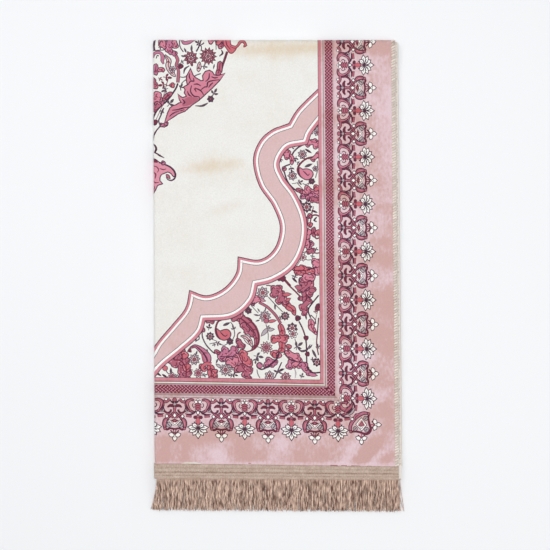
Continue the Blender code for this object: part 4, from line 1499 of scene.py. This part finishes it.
def buildRug():
    half, end = cloth["half"], mesh["end"]
    shapes = drawPrint()
    large = [s for s in shapes if areaOf(s[1]) > mesh["belowSmallest"]]
    coarse = [s for s in shapes if areaOf(s[1]) > mesh["hiddenSmallest"] or s[1][:, 0].min() < 3.0]
    shown = inkOutlines(shapes, mesh["shownTolerance"])
    below = inkOutlines(large, mesh["belowTolerance"])
    hidden = inkOutlines(coarse, mesh["hiddenTolerance"])
    counts = [sum(map(len, paths)) for paths in (shown, below, hidden)]
    print("print drawn:", len(shapes), "shapes; places along the outlines:", counts)
    corners = np.array([(-half, -end), (half, -end), (half, end), (-half, end)])
    lines = Lines()
    lines.add(splitLong(corners, mesh["longest"]), True)
    foldLines(lines, mesh["foldStep"])
    quarters = list(zip(hands, (shown, below, hidden, hidden), (shapes, large, coarse, coarse)))
    for hand, paths, drawn in quarters:
        for path in paths:
            lines.add(splitLong(path, mesh["longest"], closed=False) * hand)
    lines.points.extend(Vector(p) for p in sheetGrid(mesh["shownGrid"], mesh["hiddenGrid"]).tolist())
    places, faces = lines.triangles((-half, -end), (half, end))[:2]
    used, faces = np.unique(faces, return_inverse=True)
    places, faces = places[used], faces.reshape(-1, 3)[:, ::-1]
    middle = places[faces].mean(1)
    ink = np.zeros(len(faces), int)
    for hand, paths, drawn in quarters:
        here = (middle * hand >= 0).all(1)
        ink[here] = inkOf(middle[here] * hand, drawn)

    # the back of the cloth is coarser, and shares the places along the rim
    sides = np.concatenate([faces[:, (0, 1)], faces[:, (1, 2)], faces[:, (2, 0)]])
    key = sides.min(1).astype(np.int64) * len(places) + sides.max(1)
    group, times = np.unique(key, return_inverse=True, return_counts=True)[1:]
    rim = sides[times[group.ravel()] == 1]
    after = dict(rim.tolist())
    loop = [int(rim[0, 0])]
    while after[loop[-1]] != loop[0]:
        loop.append(after[loop[-1]])
    lines = Lines()
    lines.add(places[loop], True)
    foldLines(lines, mesh["backFoldStep"])
    lines.points.extend(Vector(p) for p in sheetGrid(mesh["backGrid"], mesh["backGrid"]).tolist())
    backPlaces, backFaces, sources = lines.triangles((-half, -end), (half, end), ids=True)
    first = len(places)
    match = {}
    for number, taken in enumerate(sources):
        for source in taken:
            if source < len(loop):
                match[loop[source]] = first + number
    rimFaces = []
    for a, b in rim.tolist():
        rimFaces += [(b, a, match[a])] + [(b, match[a], match[b])] * (match[a] != match[b])
    allPlaces = np.concatenate([places, backPlaces])
    x, y = allPlaces.T
    allFaces = np.concatenate([faces, backFaces + first, rimFaces])
    face = np.where(np.arange(len(x)) < first, 1.0, -1.0)       # 1 on the pile, -1 on the back
    lift = face * thicknessAt(downAt(y)) / 2
    points = fold(x, y, lift)
    step = 0.05                 # the surface's slope over this step gives its normal
    acrossStep = fold(x + step, y, lift) - fold(x - step, y, lift)
    downStep = fold(x, y + step, lift) - fold(x, y - step, lift)
    normals = np.cross(downStep, acrossStep) * face[:, None]
    normals /= np.linalg.norm(normals, axis=1)[:, None]
    slots = np.where(np.arange(len(allFaces)) < len(faces), 0, 1)
    paints = [velvetPaint(), backingPaint()]
    piece = newPiece("printed_velvet_rug", points, allFaces.tolist(), paints, slots)
    colours = np.array([(*linear(*inks[name]), 1.0) for name in inkNames])
    ink = np.concatenate([ink, np.full(len(allFaces) - len(faces), inkNames.index("cream"))])
    setAttribute(piece.data, "Ink", "FLOAT_COLOR", "CORNER", np.repeat(colours[ink], 3, axis=0))
    setAttribute(piece.data, "Nap", "FLOAT", "POINT", napToneAndShadeAt(np.abs(x), np.abs(y)))
    layer = piece.data.uv_layers.new(name="OFBake")
    uv = layoutForBaking(x[allFaces], y[allFaces], slots == 0)
    layer.data.foreach_set("uv", uv.astype(np.float32).ravel())
    piece.data.normals_split_custom_set_from_vertices(normals.tolist())
    print("velvet rug:", triangleCount(piece), "triangles")
    return piece


velvet = dict(
    soft=(60.0, 3.0, 0.6),  # noises: scale, detail, roughness
    brushed=(190.0, 3.0, 0.65),
    fine=(520.0, 2.0, 0.6),
    pile=(1500.0, 2.0, 0.7),
    mottle=(1.2, 1.9, 1.1), # strength of the soft, brushed and fine one
    fieldMottle=0.25,       # the share of it that isn't tied to the nap's warmth
    whiteGreen=0.9,         # above this much green an ink is the white
    creamGreen=0.72,        # and above this the cream of the field
    greenSlope=12.0,
    whiteCalm=0.7,          # the white ink stays clean
    creamCalm=0.65,         # and the field is calm
    warmInk=(0.80, 0.655, 0.57),    # where the Nap value is high, colours are multiplied by this: random tone of the pile, and painted shade along creases and folds
    warmCream=(0.85, 0.70, 0.52),
    shade=(0.80, 0.26, 0.14),       # plain, by the fine noise, by the pile
    bump=(0.5, 0.7),        # depth in millimetres, strength
)
backing = dict(weave=(900.0, 2.0, 0.6), dark=(224, 215, 208), light=(246, 239, 234), bump=(0.3, 0.6))


def velvetPaint():
    paint = Paint("printed_velvet", roughness=0.72, sheen=0.3, sheenRoughness=0.45)
    where = paint.places()
    ink = paint.attribute("Ink", 0)
    # Nap holds random tone of the pile and painted shade along the creases and folds
    warmer = paint.attribute("Nap", 2)
    soft = paint.noise(where, *velvet["soft"])
    brushed = paint.noise(paint.stretch(where, 1.5, 0.8, 1.0), *velvet["brushed"])
    fine = paint.noise(where, *velvet["fine"])
    pile = paint.noise(paint.stretch(where, 1.0, 0.45, 1.0), *velvet["pile"])
    printed = paint.clamp(warmer * 4.0)
    softShare, brushedShare, fineShare = velvet["mottle"]
    mottle = (soft - 0.5) * softShare + (brushed - 0.5) * brushedShare + (fine - 0.5) * fineShare
    green = paint.node("ShaderNodeSeparateColor", {}, {0: ink}, 1)
    white = paint.clamp((green - velvet["whiteGreen"]) * velvet["greenSlope"])
    cream = paint.clamp((green - velvet["creamGreen"]) * velvet["greenSlope"])
    always = velvet["fieldMottle"]
    stain = mottle * (always + printed * (1.0 - always)) * (1.0 - cream * velvet["creamCalm"])
    warmth = paint.clamp((warmer + stain) * (1.0 - white * velvet["whiteCalm"]), -0.1, 1.2)
    warmest = paint.blend(cream, velvet["warmInk"], velvet["warmCream"])
    tint = paint.blend(warmth, (1.0, 1.0, 1.0), warmest)
    tinted = paint.blend(1.0, ink, tint, "MULTIPLY")
    plain, byFine, byPile = velvet["shade"]
    shade = plain + fine * byFine + pile * byPile
    grey = paint.node("ShaderNodeCombineColor", {}, {0: shade, 1: shade, 2: shade})
    colour = paint.blend(1.0, tinted, grey, "MULTIPLY")
    return paint.finish(colour, pile + fine * 0.8, *velvet["bump"])


def backingPaint():
    paint = Paint("backing_weave", roughness=0.8)
    fine = paint.noise(paint.places(), *backing["weave"])
    colour = paint.blend(fine, linear(*backing["dark"]), linear(*backing["light"]))
    return paint.finish(colour, fine, *backing["bump"])


tape = dict(
    widthAtFold=21.0,
    widthAtEdge=18.5,
    thickness=0.8,
    lift=1.4,               # from the middle of the pressed cloth to the middle of the tape
    ribs=((0.0, 0.12), (0.05, 0.28), (0.12, 0.36), (0.23, 0.33), (0.28, 0.18),
          (0.33, 0.32), (0.42, 0.36), (0.50, 0.30), (0.55, 0.12), (0.60, 0.16), (0.64, 0.34),
          (0.72, 0.36), (0.79, 0.16), (0.83, 0.32), (0.92, 0.36), (1.0, 0.22)),
    ribHeight=1.3,          # ribs are a share of the width and a height, which is grown by this
    ribFloor=0.4,
    waver=0.09,
    columnStep=2.4,
    turnColumns=11,         # round the side fold
    dark=(146, 118, 100),
    light=(216, 196, 182),
)
stitches = dict(
    depth=0.56,             # share of the tape's width
    length=1.9,
    spread=(-0.4, 0.4),
    gap=1.7,
    radius=0.34,
    fromFold=3.0,
    fromEdge=4.0,
    path=((0.0, -0.35), (0.25, -0.02), (0.75, -0.02), (1.0, -0.35)),       # along, rise
)
fringe = dict(
    length=44.5,
    lengthSpread=1.8,
    firstFromFold=1.9,
    lastFromEdge=1.2,
    flareAtFold=7.5,
    flareAtEdge=2.8,
    flareReach=90.0,
    restPitch=1.4,
    topStrands=410,
    innerStrands=190,
    thickness=0.92,
    lean=2.6,               # how far the tips stray sideways
    uneven=1.1,             # and in length
    under=0.5,              # the second row of the top layer lies this much lower
    jitter=(-0.3, 0.3),     # of the places along the tape, in pitches
    sway=(0.2, 0.8),
    swayTurns=(1.0, 2.2),
    hop=(-0.25, 0.55),      # off the level
    girth=(0.8, 1.15),      # of one strand, in shares of the thickness
    tone=(0.50, 0.16),
    steps=(0.0, 0.06, 0.18, 0.34, 0.52, 0.7, 0.86, 1.0),
    taper=(0.9, 1.0, 1.0, 1.05, 1.0, 1.0, 0.95, 0.6),
    dark=(110, 74, 60),
    light=(244, 214, 194),
    evenTone=0.55,          # next to the tape
    evenRun=4.5,
    evenSlope=300.0,
    seed=11,
)


def tapeWeave():
    paint = Paint("heading_tape", roughness=0.85, sheen=0.15)
    where = paint.places()
    # Shade holds painted shade in the grooves between the ribs, with some random tone
    shade = paint.attribute("Shade", 2)
    grain = paint.noise(paint.stretch(where, 1.0, 0.6, 1.0), 700.0, 2.0, 0.7)
    soft = paint.noise(where, 90.0, 2.0, 0.5)
    tone = shade + (grain - 0.5) * 1.2 + (soft - 0.5) * 0.5
    colour = paint.blend(paint.clamp(tone), linear(*tape["dark"]), linear(*tape["light"]))
    return paint.finish(colour, grain, 0.5, 0.8)


def yarnPaint():
    paint = Paint("fringe_yarn", roughness=0.8, sheen=0.15)
    where = paint.places()
    shade = paint.attribute("Shade", 2)
    grain = paint.noise(paint.stretch(where, 1.0, 0.25, 1.0), 900.0, 2.0, 0.7)
    # Painted shade and highlights: short dark streaks stand for the gaps between strands, light ones for
    # glints along them
    shadeAndGlintStreaks = paint.noise(paint.stretch(where, 1.0, 0.16, 0.3), 620.0, 1.0, 0.5)
    tone = shade + (grain - 0.5) * 0.9 + (shadeAndGlintStreaks - 0.5) * 2.4
    rootY = (home[1] - cloth["halfLength"] - fringe["evenRun"]) * mm
    along = paint.node("ShaderNodeSeparateXYZ", {}, {0: where}, 1)
    root = paint.clamp((along - rootY) * fringe["evenSlope"])
    tone = tone + (fringe["evenTone"] - tone) * root * 0.8      # even in tone next to the tape
    colour = paint.blend(paint.clamp(tone), linear(*fringe["dark"]), linear(*fringe["light"]))
    return paint.finish(colour, grain, 0.4, 0.8)


def tapeStrip(end):
    # Cross sections of the tape, from the outer layer's edge round the side fold to the inner.
    half = cloth["half"]
    flat = np.arange(cloth["sideRun"] + 1.0, half + cloth["foldAt"], tape["columnStep"])
    outer = np.append(flat[flat < half - cloth["foldAt"] - 1.0], half - cloth["foldAt"])
    inner = np.append(flat[flat < half + cloth["foldAt"] - 1.0], half + cloth["foldAt"])
    turn = np.linspace(-cloth["sideRun"], cloth["sideRun"], tape["turnColumns"])
    u = np.concatenate([-inner[::-1], turn, outer])
    share = np.clip((np.abs(u) - cloth["sideRun"]) / (half - cloth["sideRun"]), 0, 1)
    width = between(tape["widthAtFold"], tape["widthAtEdge"], share)
    depth, rise = np.array(tape["ribs"]).T
    run = cloth["crossRun"] - cloth["crossDepth"]
    y = cloth["halfLength"] + run - width[:, None] * (1.0 - depth[None, :])
    x = np.broadcast_to(u[:, None] + cloth["foldAt"], y.shape)
    wave = tape["waver"] * softNoise(x, y, 3.0, 21)
    face = tape["lift"] + tape["thickness"] / 2 - tape["ribFloor"]
    top = fold(x, end * y, face + rise[None, :] * tape["ribHeight"] + wave)
    ends = [0, -1]
    low = fold(x[:, ends], end * y[:, ends], tape["lift"] - tape["thickness"] / 2)
    ring = np.concatenate([top, low[:, ::-1]], axis=1)
    rows, around = ring.shape[:2]
    index = np.arange(rows * around).reshape(rows, around)
    faces = []
    for i in range(rows - 1):
        for j in range(around):
            k = (j + 1) % around
            quad = (index[i, j], index[i, k], index[i + 1, k], index[i + 1, j])
            faces.append(tuple(int(q) for q in (quad if end > 0 else quad[::-1])))
    first, last = index[0].tolist(), index[-1].tolist()
    faces.append(tuple(first[::-1] if end > 0 else first))
    faces.append(tuple(last if end > 0 else last[::-1]))
    shades = np.concatenate([0.10 + 1.5 * rise, [0.4, 0.4]])        # painted shade: darker between the ribs, where the tape lies lower
    row, place = np.arange(rows)[:, None], np.arange(around)[None, :]
    shades = shades + 0.12 * softNoise(row * tape["columnStep"], place * 9.0, 8.0, 4)
    return ring.reshape(-1, 3), faces, np.clip(shades, 0, 1).ravel().tolist()


def strandRow(yarns, end, side, level, count, chance, under=0.0):
    # level counts up from the floor, as the layers lie
    thickness = fringe["thickness"]
    width = float(widthAt(np.array(side), np.array(cloth["halfLength"])))
    run = cloth["crossRun"] - cloth["crossDepth"]
    nose = pairAt(0.0, cloth["halfLength"])
    flat = cloth["half"] - side * cloth["foldAt"] - cloth["sideRun"]
    first, last = fringe["firstFromFold"], width - fringe["lastFromEdge"]
    pitch = (last - first) / count
    steps, taper = np.array(fringe["steps"]), np.array(fringe["taper"])
    for number in range(count):
        middle = first + (number + 0.5 + chance.uniform(*fringe["jitter"])) * pitch
        atFold = max(1.0 - middle / fringe["flareReach"], 0.0)
        atEdge = max(1.0 - (width - middle) / fringe["flareReach"], 0.0)
        lean = fringe["flareAtEdge"] * atEdge ** 2 - fringe["flareAtFold"] * atFold ** 2
        lean += chance.gauss(0.0, fringe["lean"])
        length = fringe["length"] + chance.gauss(0.0, fringe["uneven"])
        length = min(length, fringe["length"] + fringe["lengthSpread"])
        u = side * ((middle - nose) / (width - nose) * flat + cloth["sideRun"])
        root = fold(u + cloth["foldAt"], end * (cloth["halfLength"] + run - 0.8), tape["lift"] - under)
        rest = tape["thickness"] / 2 + thickness * 0.35 + level * fringe["restPitch"]
        wide, start = chance.uniform(*fringe["sway"]), chance.uniform(0.0, 6.28)
        sway = wide * np.sin(start + steps * chance.uniform(*fringe["swayTurns"]) * 6.28) * steps
        hop = chance.uniform(*fringe["hop"])
        path = np.stack([
            root[0] + lean * steps ** 1.5 + sway,
            root[1] - 0.2 - (length + 0.8) * steps,
            between(root[2], rest + hop, ease(steps)),
        ], axis=1)
        radii = thickness / 2 * chance.uniform(*fringe["girth"]) * taper
        path[:, 2] = np.maximum(path[:, 2], radii + 0.05)
        yarns.add(path, radii, 5, min(max(chance.gauss(*fringe["tone"]), 0.0), 1.0))


def stitchRow(yarns, end, side, chance):
    # short threads that hold the tape, seen as dashes along it
    half = cloth["half"] - side * cloth["foldAt"] - stitches["fromEdge"]
    u = cloth["sideRun"] + stitches["fromFold"]
    run = cloth["crossRun"] - cloth["crossDepth"]
    face = tape["lift"] + tape["thickness"] / 2
    while u < half:
        length = stitches["length"] + chance.uniform(*stitches["spread"])
        share = (u - cloth["sideRun"]) / cloth["half"]
        width = between(tape["widthAtFold"], tape["widthAtEdge"], share)
        y = cloth["halfLength"] + run - width * (1.0 - stitches["depth"])
        path = [fold(side * (u + along * length) + cloth["foldAt"], end * y, face + rise)
                for along, rise in stitches["path"]]
        yarns.add(path, stitches["radius"], 4, chance.uniform(0.0, 0.3))
        u += length + stitches["gap"]


def buildFringe(name, end, node):
    chance = random.Random(fringe["seed"] + end)
    yarns = Yarns()
    levels = {(-1, 1): 0, (-1, -1): 1, (1, -1): 2, (1, 1): 3}      # by end and side
    for side in (1, -1):
        shown = end > 0 and side > 0
        count = fringe["topStrands"] if shown else fringe["innerStrands"]
        level = levels[end, side]
        if shown:
            strandRow(yarns, end, side, level, count // 2, chance, fringe["under"])
        strandRow(yarns, end, side, level, count, chance)
    strandCount = len(yarns.faces)
    yarns.sheet(*tapeStrip(end))
    for side in (1, -1):
        stitchRow(yarns, end, side, chance)
    piece = yarns.piece(name, [yarnPaint(), tapeWeave()])
    slots = np.ones(len(yarns.faces), np.int32)
    slots[:strandCount] = 0
    piece.data.polygons.foreach_set("material_index", slots)
    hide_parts(node)
    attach(piece, "root")
    print(name + ":", triangleCount(piece), "triangles")
    return piece


overlock = dict(
    reach=5.0,              # from the edge of the cloth in over the pile
    pitch=3.7,
    slant=2.2,
    thread=0.95,            # each stitch is three threads side by side
    spacing=0.8,
    bead=0.9,
    beadOut=0.25,           # the bead along the edge stands out this much, and the stitches' tips
    tipOut=0.35,
    start=2.0,
    tones=(0.40, 0.90),
    lowerTones=(0.3, 0.7),  # the layers below lie in shade
    beadTone=0.6,
    lowerBeadTone=0.5,
    along=(1.0, 0.7, 0.1, 0.0, 0.1, 0.7),     # one stitch, over the edge and back underneath, by slant
    rise=(-0.3, 0.2, 0.3, 0.0, -0.1, -0.1),
    face=(1, 1, 1, 1, -1, -1),                # 1 over the pile, -1 under the cloth
    seed=5,
    dark=(190, 178, 168),
    light=(250, 242, 233),
)


def threadPaint():
    paint = Paint("overlock_thread", roughness=0.7, sheen=0.2)
    where = paint.places()
    shade = paint.attribute("Shade", 2)
    grain = paint.noise(where, 1200.0, 2.0, 0.6)
    share = paint.clamp(shade + (grain - 0.5) * 0.6)
    colour = paint.blend(share, linear(*overlock["dark"]), linear(*overlock["light"]))
    return paint.finish(colour, grain, 0.2, 0.6)


def buildOverlock():
    chance = random.Random(overlock["seed"])
    yarns = Yarns()
    half = cloth["half"]
    radius = overlock["thread"] / 2
    end = cloth["halfLength"] - tape["widthAtEdge"] + 4.0
    offFloor = 0.05             # nothing goes into the floor
    shares, rise, face = (np.array(overlock[name]) for name in ("along", "rise", "face"))
    for handX, handY in hands:
        top = (handX, handY) == (1, 1)
        y = overlock["start"]
        while y < end - 4.0:
            along = (overlock["slant"] + chance.uniform(-0.25, 0.25)) * shares
            reach = overlock["reach"] + chance.uniform(-0.35, 0.35)
            tone = chance.uniform(*overlock["tones" if top else "lowerTones"])
            inward = np.array([reach, reach * 0.7, 0.9, -0.1, 0.9, reach * 0.7])    # in from the edge
            for strand in (-1, 0, 1):
                down = y + along + strand * overlock["spacing"]
                lift = face * thicknessAt(downAt(down)) / 2 + rise
                path = fold(handX * (half - inward), handY * down, lift)
                path[3, 0] += overlock["tipOut"]
                path[:, 2] = np.maximum(path[:, 2], radius + offFloor)
                yarns.add(path, radius, 4, tone)
            y += overlock["pitch"] + chance.uniform(-0.15, 0.15)
        ys = np.concatenate([[0.4, 2.4, 4.4, 6.4], np.arange(9.0, end, 4.0)])
        bead = fold(handX * half, handY * ys, 0.0)
        bead[:, 0] += overlock["beadOut"]
        bead[:, 2] = np.maximum(bead[:, 2], overlock["bead"] + offFloor)
        yarns.add(bead, overlock["bead"], 6, overlock["beadTone" if top else "lowerBeadTone"])
    piece = yarns.piece("overlock_thread", [threadPaint()])
    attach(piece, "root")
    print("overlock thread:", triangleCount(piece), "triangles")
    return piece


rug = buildRug()
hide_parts("velvet_rug")
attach(rug, "root")
upper = buildFringe("upper_end_fringe", 1, "fringe_upper_end")
lower = buildFringe("lower_end_fringe", -1, "fringe_lower_end")
edging = buildOverlock()

floorName = "studio_floor"
studio = dict(
    floorSize=6.0,
    floorColour=(249, 250, 252),
    pixels=550,             # the width of the photograph
    pixel=1.393,            # and millimetres to one of its pixels
    leftEdge=153.0,         # where the photograph shows the rug's left edge and its top
    topEdge=39.2,
    lens=85.0,
    focus=14.0,             # the height that the photograph's scale is true for
    skyStrength=0.34,
    lamps=(                 # name, place, size, power
        ("window_light", (-1.1, 1.0, 2.1), 1.4, 11.0),
        ("fill_light", (1.6, -0.8, 1.9), 1.4, 7.0),
        ("overhead_light", (0.1, 0.1, 3.2), 1.6, 50.0),
    ),
)


def buildStudio():
    size = studio["floorSize"] / 2
    data = bpy.data.meshes.new(floorName)
    corners = [(-size, -size, 0), (size, -size, 0), (size, size, 0), (-size, size, 0)]
    data.from_pydata(corners, [], [(0, 1, 2, 3)])
    paint = Paint("studio_paper", roughness=0.9)
    paper = paint.noise(paint.places(), 3.0, 2.0, 0.5)
    tone = linear(*studio["floorColour"])
    data.materials.append(paint.finish(paint.blend(paper, tuple(0.985 * v for v in tone), tone)))
    floor = bpy.data.objects.new(floorName, data)
    floor.location.z = -0.0002
    bpy.context.scene.collection.objects.link(floor)

    width = studio["pixels"] * studio["pixel"]
    camera = bpy.data.cameras.new("camera")
    camera.sensor_width = 36.0
    camera.lens = studio["lens"]
    viewer = bpy.data.objects.new("camera", camera)
    distance = width * camera.lens / camera.sensor_width + studio["focus"]
    x = rugLow.x / mm + (studio["pixels"] / 2 - studio["leftEdge"]) * studio["pixel"]
    y = rugHigh.y / mm - (studio["pixels"] / 2 - studio["topEdge"]) * studio["pixel"]
    viewer.location = Vector((x, y, distance)) * mm
    bpy.context.scene.collection.objects.link(viewer)
    bpy.context.scene.camera = viewer

    for name, spot, size, power in studio["lamps"]:
        light = bpy.data.lights.new(name, "AREA")
        light.shape = "DISK"
        light.size = size
        light.energy = power
        holder = bpy.data.objects.new(name, light)
        holder.location = spot
        holder.rotation_mode = "QUATERNION"
        holder.rotation_quaternion = (-Vector(spot)).to_track_quat("-Z", "Y")
        bpy.context.scene.collection.objects.link(holder)

    world = bpy.data.worlds.new("sky")
    world.use_nodes = True
    back = world.node_tree.nodes["Background"]
    back.inputs["Color"].default_value = (0.97, 0.985, 1.0, 1.0)
    back.inputs["Strength"].default_value = studio["skyStrength"]
    bpy.context.scene.world = world
    bpy.context.scene.view_settings.view_transform = "Standard"


buildStudio()
